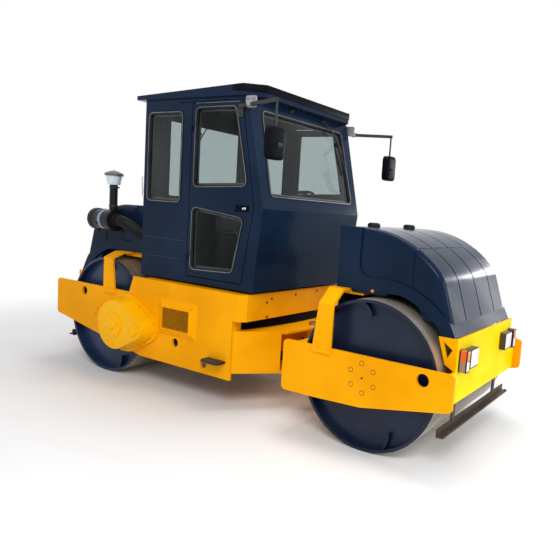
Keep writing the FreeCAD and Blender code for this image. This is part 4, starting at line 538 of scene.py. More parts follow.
def shape(piece, ways, *steps):
    """Takes the faces that look along ways, such as "+x" or "+y-y", through steps."""
    axes = [("xyz".index(axis), 1 if sign == "+" else -1) for sign, axis in zip(ways[::2], ways[1::2])]
    edit(piece)
    pick(piece, "faces", lambda face: any(face.normal[axis] * sign > 0.9 for axis, sign in axes))
    for kind, amount in steps:
        STEPS[kind](amount)
    leave()


def round_along(piece, axis, bend, segments):
    """Rounds the edges that run along an axis."""
    axis = "xyz".index(axis)
    edit(piece, "EDGE")
    pick(piece, "edges", lambda line: abs(line.verts[0].co[axis] - line.verts[1].co[axis]) > 0.002)
    bpy.ops.mesh.bevel(offset=bend, segments=segments, affect="EDGES")
    leave()


def fix(piece):
    """Puts the object's place, turn and size into its mesh."""
    only(piece)
    bpy.ops.object.transform_apply(location=True, rotation=True, scale=True)
    return piece


def modify(piece, kind, **settings):
    """Adds a modifier and applies it at once."""
    only(piece)
    modifier = piece.modifiers.new(kind.lower(), kind)
    for setting, value in settings.items():
        setattr(modifier, setting, value)
    bpy.ops.object.modifier_apply(modifier=modifier.name)
    return piece


print("helpers for shaping ready")

# %% [markdown]
# Three starts serve for nearly everything: a rounded block, a piece turned on a lathe, and a bent rod. What
# is turned or copied is made standing up along +Z at the origin, and then stood at its place. Only a lathe
# profile is written in millimetres, as on a turner's drawing.

# %% Blocks, turned pieces and rods
def block(low, high, round_edge=0.0, steps=2):
    """A box between two corners, with rounded edges."""
    low, high = Vector(low), Vector(high)
    piece = fix(add("cube", size=1.0, location=(low + high) / 2, scale=tuple(high - low)))
    if round_edge:
        edit(piece, "EDGE")
        bpy.ops.mesh.bevel(offset=round_edge, segments=steps, affect="EDGES")
        leave()
    return piece


def mm(text):
    """Rings for turned from text like "20 0, 18 5", which gives each radius and height in millimetres."""
    return [tuple(float(number) / 1000 for number in ring.split()) for ring in text.split(",")]


def turned(rings, sides=24):
    """A lathe piece up +Z: each ring is (radius, height) in metres, and the first and last are closed."""
    radius, height = rings[0]
    piece = fix(add("circle", vertices=sides, radius=radius, fill_type="NGON", location=(0, 0, height)))
    edit(piece)
    for (radius, height), (wider, higher) in zip(rings, rings[1:]):
        STEPS["pull"]((0, 0, higher - height))
        scale = wider / radius
        bpy.ops.transform.resize(value=(scale, scale, 1.0), center_override=(0, 0, higher))
    bpy.ops.mesh.select_all(action="SELECT")
    bpy.ops.mesh.normals_make_consistent(inside=False)
    leave()
    return piece


def bent_rod(points, radius, sides=3, closed=False):
    """A round bar that follows points, closed at its ends."""
    line = bpy.data.curves.new("rod", "CURVE")
    line.dimensions = "3D"
    line.bevel_depth = radius
    line.bevel_resolution = sides
    line.resolution_u = 8
    line.use_fill_caps = True
    spline = line.splines.new("BEZIER")
    spline.bezier_points.add(len(points) - 1)
    for knot, point in zip(spline.bezier_points, points):
        knot.co = point
        knot.handle_left_type = knot.handle_right_type = "AUTO"
    spline.use_cyclic_u = closed
    piece = bpy.data.objects.new("rod", line)
    bpy.context.scene.collection.objects.link(piece)
    only(piece)
    bpy.ops.object.convert(target="MESH")
    return bpy.context.object


print("three starts ready")

# %% [markdown]
# What repeats is modelled once and copied, and each copy has its own mesh. Shapes of one piece are joined.
# The last step of every piece is the same: its place goes into its mesh, it is shaded smooth where it is
# round, and it gets its name and the body that it rides on.

# %% Copying and finishing
def twin_of(piece):
    twin = piece.copy()
    twin.data = piece.data.copy()
    bpy.context.scene.collection.objects.link(twin)
    return twin


def stand(piece, place, facing, roll=0.0):
    """Moves a piece made up +Z, so that it stands at a place and points along a direction."""
    turn = Vector(facing).to_track_quat("Z", "Y").to_matrix().to_4x4()
    piece.data.transform(Matrix.Translation(place) @ turn @ spin(roll, "Z"))
    return piece


def join(*pieces):
    for piece in pieces:
        fix(piece)
    only(*pieces)
    if len(pieces) > 1:
        bpy.ops.object.join()
    return pieces[0]


def copies(model, spots, keep=False):
    """Copies of a piece made up +Z: each spot is (place, facing) or (place, facing, roll)."""
    made = [stand(twin_of(model), *spot) for spot in spots]
    if not keep:
        bpy.data.objects.remove(model)
    return join(*made)


def aim(spots, way):
    """Pairs each place with the way that a copy there points."""
    return [(spot, way) for spot in spots]


def turned_at(spots, way, profile, sides=24):
    """Turned pieces that stand at the places and point one way; the profile is text for mm."""
    return copies(turned(mm(profile), sides), aim(spots, way))


def coat(piece, *materials):
    piece.data.materials.clear()
    for material in materials:
        piece.data.materials.append(material)


def finish_piece(piece, name, body, material=None, angle=35):
    """The last step of every piece; without a material it keeps those that it has."""
    if material:
        coat(piece, material)
    fix(piece)
    bpy.ops.object.shade_smooth_by_angle(angle=math.radians(angle))
    piece.name = piece.data.name = name
    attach(piece, body)


def both_sides(piece, name, body, material):
    """A right-hand piece and its left-hand twin, mirrored and turned right side out."""
    coat(piece, material)
    twin = twin_of(piece)
    twin.data.transform(Matrix.Scale(-1, 4, (0, 1, 0)))
    twin.data.flip_normals()
    finish_piece(piece, "right_" + name, body)
    finish_piece(twin, "left_" + name, body.replace("right", "left"))


print("helpers for copying ready")

# %% [markdown]
# A cab's panes sit in rubber profiles, with a bright filler strip pressed into each to lock it. A seal is a
# ring that follows the window, so it starts as a disc whose points are laid round the window, with arcs at
# its corners. It is inset three times into lip, strip and lip, the middle is deleted, the strip is raised,
# and Solidify gives the ring its depth through the wall.

# %% A window seal
LIP_OVER = 0.0096   # how far the outer lip covers the sheet metal
OUTER_LIP, STRIP, INNER_LIP = 0.005, 0.006, 0.012
SEAL_PROUD, STRIP_PROUD = 0.006, 0.003
WALL = 0.04
CORNER_POINTS = 7
trim_strip = plain_metal("dull_filler_strip", (0.17, 0.18, 0.20), 0.35, 0.5, 160.0, 0.05)


def round_corners(corners, bend):
    """Points round a window whose corners are arcs; each arc's ends lie on the window's sides."""
    ring = []
    order = [Vector(corners[i]) for i in (0, 1, 3, 2)]
    for i, corner in enumerate(order):
        back = (order[i - 1] - corner).normalized()
        ahead = (order[(i + 1) % 4] - corner).normalized()
        half = back.angle(ahead) / 2
        centre = corner + (back + ahead).normalized() * bend / math.sin(half)
        start = (corner + back * bend / math.tan(half) - centre).normalized()
        end = (corner + ahead * bend / math.tan(half) - centre).normalized()
        ring += [centre + bend * start.slerp(end, k / (CORNER_POINTS - 1)) for k in range(CORNER_POINTS)]
    return ring


def window_seal(name, body, corners, facing, bend=0.055):
    """Corners: lower rear, lower front, upper rear, upper front, on the outer face of the wall."""
    piece = add("circle", vertices=4 * CORNER_POINTS, fill_type="NGON")
    middle = sum((Vector(c) for c in corners), Vector()) / 4
    for point, spot in zip(piece.data.vertices, round_corners(corners, bend)):
        point.co = spot + (spot - middle).normalized() * LIP_OVER
    piece.data.update()
    if piece.data.polygons[0].normal.dot(Vector(facing)) < 0:
        piece.data.flip_normals()
    edit(piece)
    coat(piece, rubber, trim_strip)
    for width, slot in ((OUTER_LIP, 1), (STRIP, 0), (INNER_LIP, 0)):
        bpy.ops.mesh.inset(thickness=width)
        piece.active_material_index = slot
        bpy.ops.object.material_slot_assign()
    bpy.ops.mesh.delete(type="FACE")
    piece.active_material_index = 1
    bpy.ops.mesh.select_all(action="DESELECT")
    bpy.ops.object.material_slot_select()
    STEPS["swell"](STRIP_PROUD)
    leave()
    piece.data.transform(Matrix.Translation(Vector(facing) * SEAL_PROUD))
    modify(piece, "SOLIDIFY", thickness=WALL + 2 * SEAL_PROUD, offset=-1.0)
    finish_piece(piece, name, body)


print("a seal is", round(OUTER_LIP + STRIP + INNER_LIP, 3), "m wide")

# %% [markdown]
# Eight seals follow the cab's eight windows. The windscreen leans back, so its corners are found on the
# leaning face from their height, and its seal faces along that face's normal.

# %% Seals round all windows
OUTER = 0.79   # the cab's outer side face
REAR_FACE = -1.08
STILE = -0.395   # the door windows' straight rear edge
SIDE_WINDOWS = (
    ("door_upper", "cab_door", ((STILE, 1.975), (0.262, 2.005), (STILE, 2.690), (0.095, 2.690))),
    ("door_lower", "cab_door", ((STILE, 1.212), (0.130, 1.234), (STILE, 1.798), (0.236, 1.728))),
    ("side_window", "rear_unit", ((-1.025, 1.825), (-0.56, 1.825), (-1.025, 2.655), (-0.56, 2.655))),
)
for side, sign in (("right", -1), ("left", 1)):
    for window, body, corners in SIDE_WINDOWS:
        body = f"{side}_{body}" if body == "cab_door" else body
        window_seal(f"{side}_{window}_seal", body, [(x, sign * OUTER, z) for x, z in corners], (0, sign, 0))
rear_corners = [(REAR_FACE, y, z) for z in (1.85, 2.665) for y in (-0.55, 0.55)]
window_seal("rear_window_seal", "rear_unit", rear_corners, (-1, 0, 0))

BELT_X, BELT_Z = 0.445, 1.822
BROW_X, BROW_Z = 0.222, 2.775
lean = Vector((BROW_Z - BELT_Z, 0, BELT_X - BROW_X)).normalized()


def on_screen(y, z, off=0.0):
    """A point on the windscreen's leaning outer face, or standing off it."""
    return Vector((BELT_X - (z - BELT_Z) * (BELT_X - BROW_X) / (BROW_Z - BELT_Z), y, z)) + lean * off


screen = [on_screen(side * half, z) for half, z in ((0.67, 1.93), (0.64, 2.675)) for side in (-1, 1)]
window_seal("windscreen_seal", "rear_unit", screen, lean, bend=0.05)
print("eight seals round the cab's windows")

# %% [markdown]
# Bolts are what a workshop adds by the hundred. One is modelled: a hexagon whose upper face is drawn in and
# raised, on a thin washer. Every other is a copy with its own mesh, stood at its place and pointed along its
# hole. Painted bolts take the colour of the plate they hold.

# %% One bolt
FORWARD, BACK, UP, DOWN = (1, 0, 0), (-1, 0, 0), (0, 0, 1), (0, 0, -1)
OUT = (0, -1, 0)   # the way out on the right-hand side


def hex_bolt(across=0.024, high=0.011):
    head = add("cylinder", vertices=6, radius=across / 2, depth=high, location=(0, 0, high / 2 + 0.002))
    shape(head, "+z", ("inset", across * 0.09), ("move", (0, 0, high * 0.16)))
    washer = turned([(across * 0.78, -0.001), (across * 0.78, 0.002), (across * 0.72, 0.003)], sides=16)
    return join(head, washer)


def round_the(centre, radius, angles):
    """Places round a circle that faces the right-hand side, at the angles given in degrees."""
    x, y, z = centre
    turns = [math.radians(angle) for angle in angles]
    return [(x + radius * math.cos(turn), y, z + radius * math.sin(turn)) for turn in turns]


def evenly(count, start=90.0):
    return [start + 360.0 * k / count for k in range(count)]


def bolts_at(spots, way=OUT, across=0.024, high=0.011):
    return copies(hex_bolt(across, high), aim(spots, way))


sample = hex_bolt()
print("a bolt", [round(v, 4) for v in sample.dimensions])
bpy.data.objects.remove(sample)

# %% [markdown]
# The drum's bearing on each front plate shows as six flush plugs round a smaller one. A plug is turned from
# rings, low and slightly domed, and a thin dark seam lies round it where dirt gathers.

# %% Plugs on the front plates
PLATE_Y = 0.87
AXLE_X, AXLE_Z = 1.58, 0.60
axle_spot = (AXLE_X, -PLATE_Y, AXLE_Z)
plug_spots = round_the(axle_spot, 0.115, evenly(6, 95.0))
plugs = turned_at(plug_spots, OUT, "16.5 -1, 16.5 1.8, 14.5 3.2, 6 4.2, 1 4.4")
both_sides(plugs, "bearing_plugs", "front_unit", orange)
seams = join(
    turned_at(plug_spots, OUT, "20.5 -1, 20.5 1.2, 16.5 1.2, 16 -0.5"),
    turned_at([axle_spot], OUT, "9 -1, 9 1.2, 4 1.6", 16),
)
both_sides(seams, "bearing_plug_seams", "front_unit", brown_black)
print("plugs at", [tuple(round(v, 3) for v in spot) for spot in plug_spots[:2]])

# %% [markdown]
# Hexagon bolts hold the yoke's straps and the rear bearing caps. Each group is one piece, so the maker can
# hide or repaint it at once, and what is on the right is mirrored to the left.

# %% Strap and bearing bolts
STRAP_Y, CAP_Y = 0.89, 0.882
for name, body, spots, across in (
    ("front_strap_bolts", "front_unit", [(x, -STRAP_Y, 0.790) for x in (1.175, 1.268)], 0.026),
    ("rear_strap_bolts", "rear_unit", [(x, -STRAP_Y, 0.915) for x in (-1.475, -1.375)], 0.026),
    ("bearing_cap_bolts", "rear_unit", round_the((-AXLE_X, -CAP_Y, AXLE_Z), 0.082, evenly(6, 60.0)), 0.022),
):
    both_sides(bolts_at(spots, OUT, across), name, body, orange)
    print(name, len(spots), "a side")

# %% [markdown]
# The gear case is shaped like a drop: a large ring of flange bolts round the drum's wheel, a small one round
# the motor's, and straight flanks between, so the bolts follow two arcs and two lines. Its face has two round
# covers, and a turned boss stands on the large one.

# %% Gear case bolts and boss
GEAR_X, GEAR_Z, GEAR_FACE = -1.15, 0.59, -1.059
TAIL_X = -0.85
GEAR_RING, TAIL_RING, FLANGE_Y = 0.279, 0.136, -0.896
FLANK_TURN = math.radians(90 - 29)
flange = round_the((GEAR_X, FLANGE_Y, GEAR_Z), GEAR_RING, range(110, 261, 25))
flange += round_the((TAIL_X, FLANGE_Y, GEAR_Z), TAIL_RING, (-70, -40, -5, 30, 65))
for share in (0.3, 0.65):
    for sign in (-1, 1):
        start, end = (
            Vector((x + ring * math.cos(FLANK_TURN), 0, sign * ring * math.sin(FLANK_TURN)))
            for x, ring in ((GEAR_X, GEAR_RING), (TAIL_X, TAIL_RING))
        )
        spot = start.lerp(end, share)
        flange.append((spot.x, FLANGE_Y, GEAR_Z + spot.z))
covers = round_the((GEAR_X, GEAR_FACE, GEAR_Z), 0.102, evenly(8, 22.5))
covers += round_the((TAIL_X, GEAR_FACE, GEAR_Z), 0.054, evenly(6))
gear_bolts = join(bolts_at(flange), bolts_at(covers, OUT, 0.018, 0.008))
finish_piece(gear_bolts, "gear_case_bolts", "rear_unit", gear_enamel)
boss = turned_at([(GEAR_X, GEAR_FACE, GEAR_Z)], OUT, "50 -2, 50 10, 44 16, 18 18, 14 24, 4 24", 28)
finish_piece(boss, "gear_case_boss", "rear_unit", gear_enamel)
print("gear case bolts:", len(flange) + len(covers))

# %% [markdown]
# Small dark heads hold the deck's front sheet: six on its face, and two on each slanted corner.

# %% Deck bolts
APRON_X = 0.345
DECK_HEAD = (0.015, 0.006)   # across and high
apron = [(APRON_X, y, z) for y, z in (
    (-0.541, 0.976), (-0.473, 1.007), (-0.108, 1.015), (0.247, 1.028), (-0.530, 0.844), (0.541, 0.976),
)]
corner = [((0.315, side * 0.828, z), (1, side, 0)) for side in (-1, 1) for z in (0.90, 1.01)]
deck_bolts = join(bolts_at(apron, FORWARD, *DECK_HEAD), copies(hex_bolt(*DECK_HEAD), corner))
finish_piece(deck_bolts, "deck_front_bolts", "rear_unit", brown_black)
print("deck bolts:", len(apron) + len(corner))

# %% [markdown]
# Each lamp is a housing with a bright bowl behind a clear lens, and only its front shows. A frame is a box
# whose front is inset and sunk, and a lens is a pad with a crowned, bevelled face that fills the hollow. The
# marker lamp is amber above and white below.

# %% Lamps
HEADLIGHT_X, MARKER_X = 2.295, 2.305
HEADLIGHT_Y, MARKER_MIDDLE_Y = 0.44, 0.60
LAMP_Z = 0.825
FRAME_PROUD = 0.010


def lamp_frame(x, y, half_wide, half_high, rim):
    low = (x - 0.002, y - half_wide, LAMP_Z - half_high)
    housing = block(low, (x + FRAME_PROUD, y + half_wide, LAMP_Z + half_high))
    shape(housing, "+x", ("inset", rim), ("pull", (-FRAME_PROUD * 0.7, 0, 0)))
    return modify(housing, "BEVEL", width=0.0012, segments=2)


def lens(x, y, half_wide, low, high, crown):
    """A lens between two heights over the lamp's middle."""
    pad = block((x, y - half_wide, LAMP_Z + low), (x + 0.006, y + half_wide, LAMP_Z + high))
    middle_rim = min(half_wide, (high - low) / 2) * 0.4
    steps = ("inset", 0.009), ("move", (crown, 0, 0)), ("inset", middle_rim), ("move", (crown * 0.4, 0, 0))
    shape(pad, "+x", *steps)
    return modify(pad, "BEVEL", width=0.0025, segments=2)


frames, whites, ambers = [], [], []
for sign in (-1, 1):
    frames.append(lamp_frame(HEADLIGHT_X, sign * HEADLIGHT_Y, 0.083, 0.073, 0.006))
    whites.append(lens(HEADLIGHT_X + 0.003, sign * HEADLIGHT_Y, 0.077, -0.067, 0.067, 0.007))
    frames.append(lamp_frame(MARKER_X, sign * MARKER_MIDDLE_Y, 0.034, 0.083, 0.005))
    whites.append(lens(MARKER_X + 0.003, sign * MARKER_MIDDLE_Y, 0.027, -0.076, -0.002, 0.004))
    ambers.append(lens(MARKER_X + 0.003, sign * MARKER_MIDDLE_Y, 0.027, 0.001, 0.076, 0.004))
for lamps, name, material in (
    (frames, "lamp_frames", brown_black), (whites, "clear_lamp_lenses", white_lens),
    (ambers, "amber_lamp_lenses", amber_lens),
):
    finish_piece(join(*lamps), name, "front_unit", material)
print("lamp frames:", len(frames), "clear lenses:", len(whites), "amber lenses:", len(ambers))

# %% [markdown]
# The radiator's side openings are covered by expanded metal: a sheet slit and pulled into diamonds. A grid
# turned by 45 degrees and stretched has the same diamonds. It is cut to the opening with four bisects, and a
# Wireframe modifier turns its edges into strands.

# %% Expanded metal
NET_X, NET_Z, NET_Y = (-0.618, -0.267), (0.637, 0.828), 0.902
DIAMOND, DIAMONDS = 0.021, 26
STRAND = 0.0052
NET_PLACE = ((NET_X[0] + NET_X[1]) / 2, (NET_Z[0] + NET_Z[1]) / 2)
CUTS = (
    ((NET_X[0], 0, 0), BACK), ((NET_X[1], 0, 0), FORWARD),
    ((0, 0, NET_Z[0]), DOWN), ((0, 0, NET_Z[1]), UP),
)
for sign, side in ((-1, "right"), (1, "left")):
    net = add("grid", x_subdivisions=DIAMONDS, y_subdivisions=DIAMONDS, size=DIAMONDS * DIAMOND)
    place = Matrix.Translation((NET_PLACE[0], sign * NET_Y, NET_PLACE[1]))
    net.data.transform(place @ spin(90, "X") @ Matrix.Diagonal((1.25, 0.85, 1.0, 1.0)) @ spin(45, "Z"))
    edit(net)
    for spot, outwards in CUTS:
        bpy.ops.mesh.select_all(action="SELECT")
        bpy.ops.mesh.bisect(plane_co=spot, plane_no=outwards, clear_outer=True)
    leave()
    modify(net, "WIREFRAME", thickness=STRAND, use_replace=True, use_even_offset=False, use_boundary=True)
    edit(net)
    bpy.ops.mesh.normals_make_consistent(inside=False)
    leave()
    screws = [(x, sign * 0.9115, z) for x in (-0.655, -0.230) for z in (0.600, 0.865)]
    screws = bolts_at(screws, (0, sign, 0), 0.012, 0.005)
    finish_piece(net, f"{side}_expanded_mesh", "rear_unit", orange)
    finish_piece(screws, f"{side}_mesh_screws", "rear_unit", orange)
    print(side, "mesh", len(net.data.polygons), "faces")

# %% [markdown]
# Each door has a round push-button handle in a dark pressed recess. The dish in the recess is a block with
# round ends and a sunk face. The knob is turned from a wide rosette down to a neck and out to the button.

# %% Door handles
KNOB_PLACE = (0.232, -0.777, 1.812)
dish = block((0.160, -0.7805, 1.788), (0.272, -0.772, 1.836))
round_along(dish, "y", 0.020, 5)
shape(dish, "-y", ("inset", 0.006), ("move", (0, 0.003, 0)))
modify(dish, "BEVEL", width=0.0008, segments=1)
both_sides(dish, "handle_dish", "right_cab_door", near_black)
knob_profile = "14 0, 14 4, 12 7, 7 9, 6 14, 9 17, 11 20, 11 24, 9 27, 5 27.5, 4 26, 1 26"
knob = turned_at([KNOB_PLACE], OUT, knob_profile, 28)
both_sides(knob, "handle_knob", "right_cab_door", chrome)
print("handles at", KNOB_PLACE)

# %% [markdown]
# A drip rail over each door keeps rain out of the gap, and two rows of small pressed louvres below the rear
# window let the cab breathe. One louvre is a block whose outer face is drawn in and pushed to one edge, and
# it is copied along its rows.

# %% Drip rails and louvres
rail = bent_rod([(-0.62, -0.798, 2.746), (-0.2, -0.798, 2.750), (0.19, -0.798, 2.752)], 0.0075, 2)
both_sides(rail, "drip_rail", "rear_unit", navy)
LOUVRE_ROWS = (1.470, 1.290)
LOUVRES, LOUVRE_STEP = 13, 0.041
louvre = block((-0.012, -0.006, -0.001), (0.012, 0.006, 0.008))
shape(louvre, "+z", ("scale", (0.72, 0.3, 1.0)), ("move", (0, 0.003, 0)))
spots = [(-1.010 + LOUVRE_STEP * k, -OUTER, height) for height in LOUVRE_ROWS for k in range(LOUVRES)]
# The louvres are painted a lighter, glossier navy than the sheet they are pressed from: a painted highlight on
# their edges.
louvre_highlight_navy = paint("louvre_highlight_navy", (0.016, 0.045, 0.115), DUST, 0.2, 0.2, 0.02, 0.3)
both_sides(copies(louvre, aim(spots, OUT)), "side_louvres", "rear_unit", louvre_highlight_navy)
print("louvres:", len(spots), "a side")

# %% [markdown]
# A near-black strip covers the roof sheet's front edge and runs round both bevelled corners. It is a strip of
# quads
# that follows the edge: each stretch is extruded from the last, and then given a wall. A small socket for a
# beacon stands on the roof.

# %% Roof edge and the socket on the roof
ROOF = ((0.060, -0.815), (0.172, -0.815), (0.317, -0.665), (0.317, 0.665), (0.172, 0.815), (0.060, 0.815))
ROOF_X, ROOF_Z = (-1.185, 0.317), (2.815, 2.880)
EDGE_TOP, EDGE_TAIL, EDGE_DEEP = 0.002, 0.050, 0.066   # below the roof's top: upper line, lower line


def roof_top(x):
    return ROOF_Z[0] + (x - ROOF_X[0]) * (ROOF_Z[1] - ROOF_Z[0]) / (ROOF_X[1] - ROOF_X[0])


edge = add("plane", size=1.0)
for point, ((x, y), drop) in zip(edge.data.vertices, (
    (ROOF[0], EDGE_TAIL), (ROOF[1], EDGE_DEEP), (ROOF[0], EDGE_TOP), (ROOF[1], EDGE_TOP),
)):
    point.co = (x, y, roof_top(x) - drop)
for start, end in zip(ROOF[1:-2], ROOF[2:-1]):
    edit(edge, "EDGE")
    pick(edge, "edges", lambda line: max((tip.co.xy - Vector(start)).length for tip in line.verts) < 0.004)
    STEPS["pull"]((end[0] - start[0], end[1] - start[1], roof_top(end[0]) - roof_top(start[0])))
    leave()
modify(edge, "SOLIDIFY", thickness=0.008, offset=1.0)
modify(edge, "BEVEL", width=0.002, segments=2)
finish_piece(edge, "roof_edge", "rear_unit", near_black)
socket_place = (-0.40, -0.62, roof_top(-0.40))
socket = turned_at([socket_place], UP, "28 -2, 28 6, 14 12, 12 30, 16 34, 14 42, 2 44")
finish_piece(socket, "roof_socket", "rear_unit", black_satin)
print("roof socket at", tuple(round(v, 3) for v in socket_place))

# %% [markdown]
# Above the windscreen sit the wiper's pivot and a washer jet, and the wiper is parked along the left pillar.
# An arm is a bent rod with a thinner link beside it, and the blade is a thin bar with a rubber lip. Their
# points are given across the screen, up it, and off the glass. The rear window has a shorter wiper.

# %% Wipers and washer jet
motor = turned(mm("22 -4, 22 10, 15 18, 11 30, 3 32"))
parts = [copies(motor, [(on_screen(y, z), lean)], keep=True) for y, z in ((0.30, 2.735), (-0.22, 2.742))]
for radius, sides, points in (
    (0.0065, 3, ((0.30, 2.735, 0.026), (0.38, 2.68, 0.030), (0.52, 2.56, 0.022), (0.575, 2.44, 0.020))),
    (0.004, 3, ((0.325, 2.735, 0.020), (0.41, 2.665, 0.024), (0.545, 2.55, 0.020), (0.585, 2.46, 0.018))),
    (0.007, 2, ((0.500, 2.62, 0.0135), (0.575, 2.43, 0.014), (0.628, 2.24, 0.0135))),
    (0.0035, 1, ((0.500, 2.62, 0.006), (0.575, 2.43, 0.006), (0.628, 2.24, 0.006))),
):
    parts.append(bent_rod([on_screen(*point) for point in points], radius, sides))
finish_piece(join(*parts), "windscreen_wiper", "rear_unit", black_satin)

back_arm = bent_rod([(-1.112, 0.10, 2.705), (-1.118, 0.02, 2.60), (-1.108, -0.10, 2.42)], 0.006)
back_blade = bent_rod([(-1.100, -0.04, 2.58), (-1.101, -0.11, 2.41), (-1.100, -0.17, 2.24)], 0.0065, 2)
back_motor = copies(motor, [((-1.080, 0.10, 2.705), BACK)])
rear_wiper = join(back_arm, back_blade, back_motor)
finish_piece(rear_wiper, "rear_window_wiper", "rear_unit", black_satin)
print("two wipers fitted, of", len(parts), "and 3 shapes")

# %% [markdown]
# A bright hook on each rear corner of the cab holds the open door. It is one bent rod, and both its feet are
# the same turned plate.

# %% Door hooks
hook = bent_rod([
    (-1.085, -0.770, 2.03), (-1.118, -0.775, 2.045), (-1.125, -0.775, 1.98), (-1.118, -0.775, 1.90),
    (-1.120, -0.775, 1.86), (-1.085, -0.770, 1.845),
], 0.008)
feet = turned_at([(-1.08, -0.770, z) for z in (2.03, 1.845)], BACK, "20 -1, 20 5, 14 8, 2 9")
both_sides(join(hook, feet), "door_hook", "rear_unit", chrome)
print("hooks on both sides")

# %% [markdown]
# Each mirror has a moulded shell with a ball joint on its back and silvered glass towards the driver. The
# shell is a block with round corners, whose back is drawn in twice into a low crown, and whose front is sunk
# for the glass.

# %% Mirror shells and glass
shell = block((0.648, -1.062, 2.218), (0.712, -0.878, 2.477))
round_along(shell, "x", 0.045, 6)
shape(shell, "+x", ("inset", 0.014), ("move", (0.009, 0, 0)), ("inset", 0.020), ("move", (0.003, 0, 0)))
shape(shell, "-x", ("inset", 0.010), ("move", (0.004, 0, 0)))
modify(shell, "BEVEL", width=0.003, segments=2)
ball = turned_at([(0.722, -0.962, 2.335)], FORWARD, "20 0, 19 5, 10 8, 9 13, 13 18, 11 24, 3 27")
glass_face = block((0.6475, -1.050, 2.230), (0.6505, -0.890, 2.465))
round_along(glass_face, "x", 0.035, 6)
modify(glass_face, "BEVEL", width=0.0008, segments=1)
both_sides(shell, "mirror_shell", "rear_unit", near_black)
both_sides(glass_face, "mirror_glass", "rear_unit", chrome)
both_sides(ball, "mirror_ball", "rear_unit", cast)
print("mirror shells", [round(v, 3) for v in shell.dimensions])

# %% [markdown]
# Each mirror's arm is clamped in a bracket of bare folded plate at the cab's front corner. A plate is a
# block with its corners bevelled round, the clamp is a short turned collar on the arm, and three bolts hold
# the plate.

# %% Mirror brackets
primer_grey = plain_metal("primer_grey", (0.34, 0.33, 0.34), 0.45, 0.2, 70.0, 0.2)
plate = block((0.205, -0.806, 2.668), (0.318, -0.7915, 2.768))
round_along(plate, "y", 0.020, 4)
shape(plate, "-y", ("inset", 0.008), ("move", (0, -0.002, 0)))
wing = block((0.262, -0.866, 2.700), (0.318, -0.800, 2.709), 0.003)
bolt_spots = [(x, -0.808, z) for x, z in ((0.228, 2.688), (0.228, 2.748), (0.295, 2.748))]
bolts = bolts_at(bolt_spots, OUT, 0.018, 0.008)
collar = turned_at([(0.290, -0.846, 2.688)], FORWARD, "20 -22, 26 -18, 26 18, 20 22")
both_sides(join(plate, wing, bolts, collar), "mirror_bracket", "rear_unit", primer_grey)
print("brackets at x 0.205 to 0.318")

# %% [markdown]
# The operator's seat is two cushions. Each starts as a slightly small rounded block, is remeshed into even
# quads, and is blown up by Blender's cloth with pressure and no gravity, which pulls its sides in and crowns
# its faces. No point may travel more than a cap. Piping is sewn on afterwards, because remeshing loses it.

# %% Seat cushions
VOXEL = 0.010
TRAVEL = 0.014
PRESSURE = 4.0
FRAMES = 20
MARGIN = 0.012   # how much smaller the cushions start


def cushion(low, high):
    pad = block(low, high, 0.035, 4)
    pad.data.remesh_voxel_size = VOXEL
    only(pad)
    bpy.ops.object.voxel_remesh()
    before = [v.co.copy() for v in pad.data.vertices]
    cloth = pad.modifiers.new("stuffing", "CLOTH")
    cloth.settings.use_pressure = True
    cloth.settings.uniform_pressure_force = PRESSURE
    cloth.settings.effector_weights.gravity = 0.0
    cloth.point_cache.frame_start, cloth.point_cache.frame_end = 1, FRAMES
    for frame_number in range(1, FRAMES + 1):
        bpy.context.scene.frame_set(frame_number)
    swollen = pad.evaluated_get(bpy.context.evaluated_depsgraph_get()).to_mesh()
    after = [v.co.copy() for v in swollen.vertices]
    pad.modifiers.remove(cloth)
    bpy.context.scene.frame_set(1)
    for point, start, end in zip(pad.data.vertices, before, after):
        travel = end - start
        point.co = start + travel * min(1.0, TRAVEL / max(travel.length, 1e-6))
    modify(pad, "SMOOTH", factor=0.5, iterations=6)
    return modify(pad, "SUBSURF", levels=1, render_levels=1)


seat_low, seat_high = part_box("operator_seat")
SQUAB_TOP = 1.547
squab = cushion(
    (seat_low.x + 0.10, seat_low.y + 0.015, seat_low.z + MARGIN),
    (seat_high.x - MARGIN, seat_high.y - 0.015, SQUAB_TOP - MARGIN),
)
backrest = cushion(
    (seat_low.x + MARGIN, seat_low.y + 0.02, seat_low.z + 0.10),
    (seat_low.x + 0.108, seat_high.y - 0.02, seat_high.z - MARGIN),
)
for pad, name in ((squab, "seat_squab"), (backrest, "seat_backrest")):
    finish_piece(pad, name, "rear_unit", seat_cloth, 80)
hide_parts("operator_seat")
print("cushions:", len(squab.data.polygons), "and", len(backrest.data.polygons), "faces")

# %% [markdown]
# A cord of rubber piping is sewn round each cushion. Its loop is a circle whose sides are flattened, which a
# small power of the sine and cosine does: it runs straight along the sides and turns tightly at the corners.

# %% Piping and rails
SEAT_Y = 0.18
LOOP_POINTS = 16


def piping(middle, across, along):
    """A closed cord round a middle; across and along are the loop's two half sizes."""
    spots = []
    for k in range(LOOP_POINTS):
        turn = 2 * math.pi * k / LOOP_POINTS
        c, s = (abs(v) ** 0.35 * (1 if v > 0 else -1) for v in (math.cos(turn), math.sin(turn)))
        spots.append(Vector(middle) + c * Vector(across) + s * Vector(along))
    return bent_rod(spots, 0.005, 1, closed=True)


squab_x = (seat_low.x + 0.10 + seat_high.x - MARGIN) / 2
squab_cord = piping((squab_x, SEAT_Y, 1.525), (0.214, 0, 0), (0, 0.232, 0))
back_cord = piping((seat_low.x + 0.106, SEAT_Y, 1.76), (0, 0.228, 0), (0, 0, 0.232))
finish_piece(join(squab_cord, back_cord), "seat_piping", "rear_unit", rubber)
rails = [block((-0.74, y, 1.405), (-0.36, y + 0.03, 1.420), 0.003) for y in (0.02, 0.31)]
finish_piece(join(*rails), "seat_rails", "rear_unit", black_satin)
print("seat sewn")

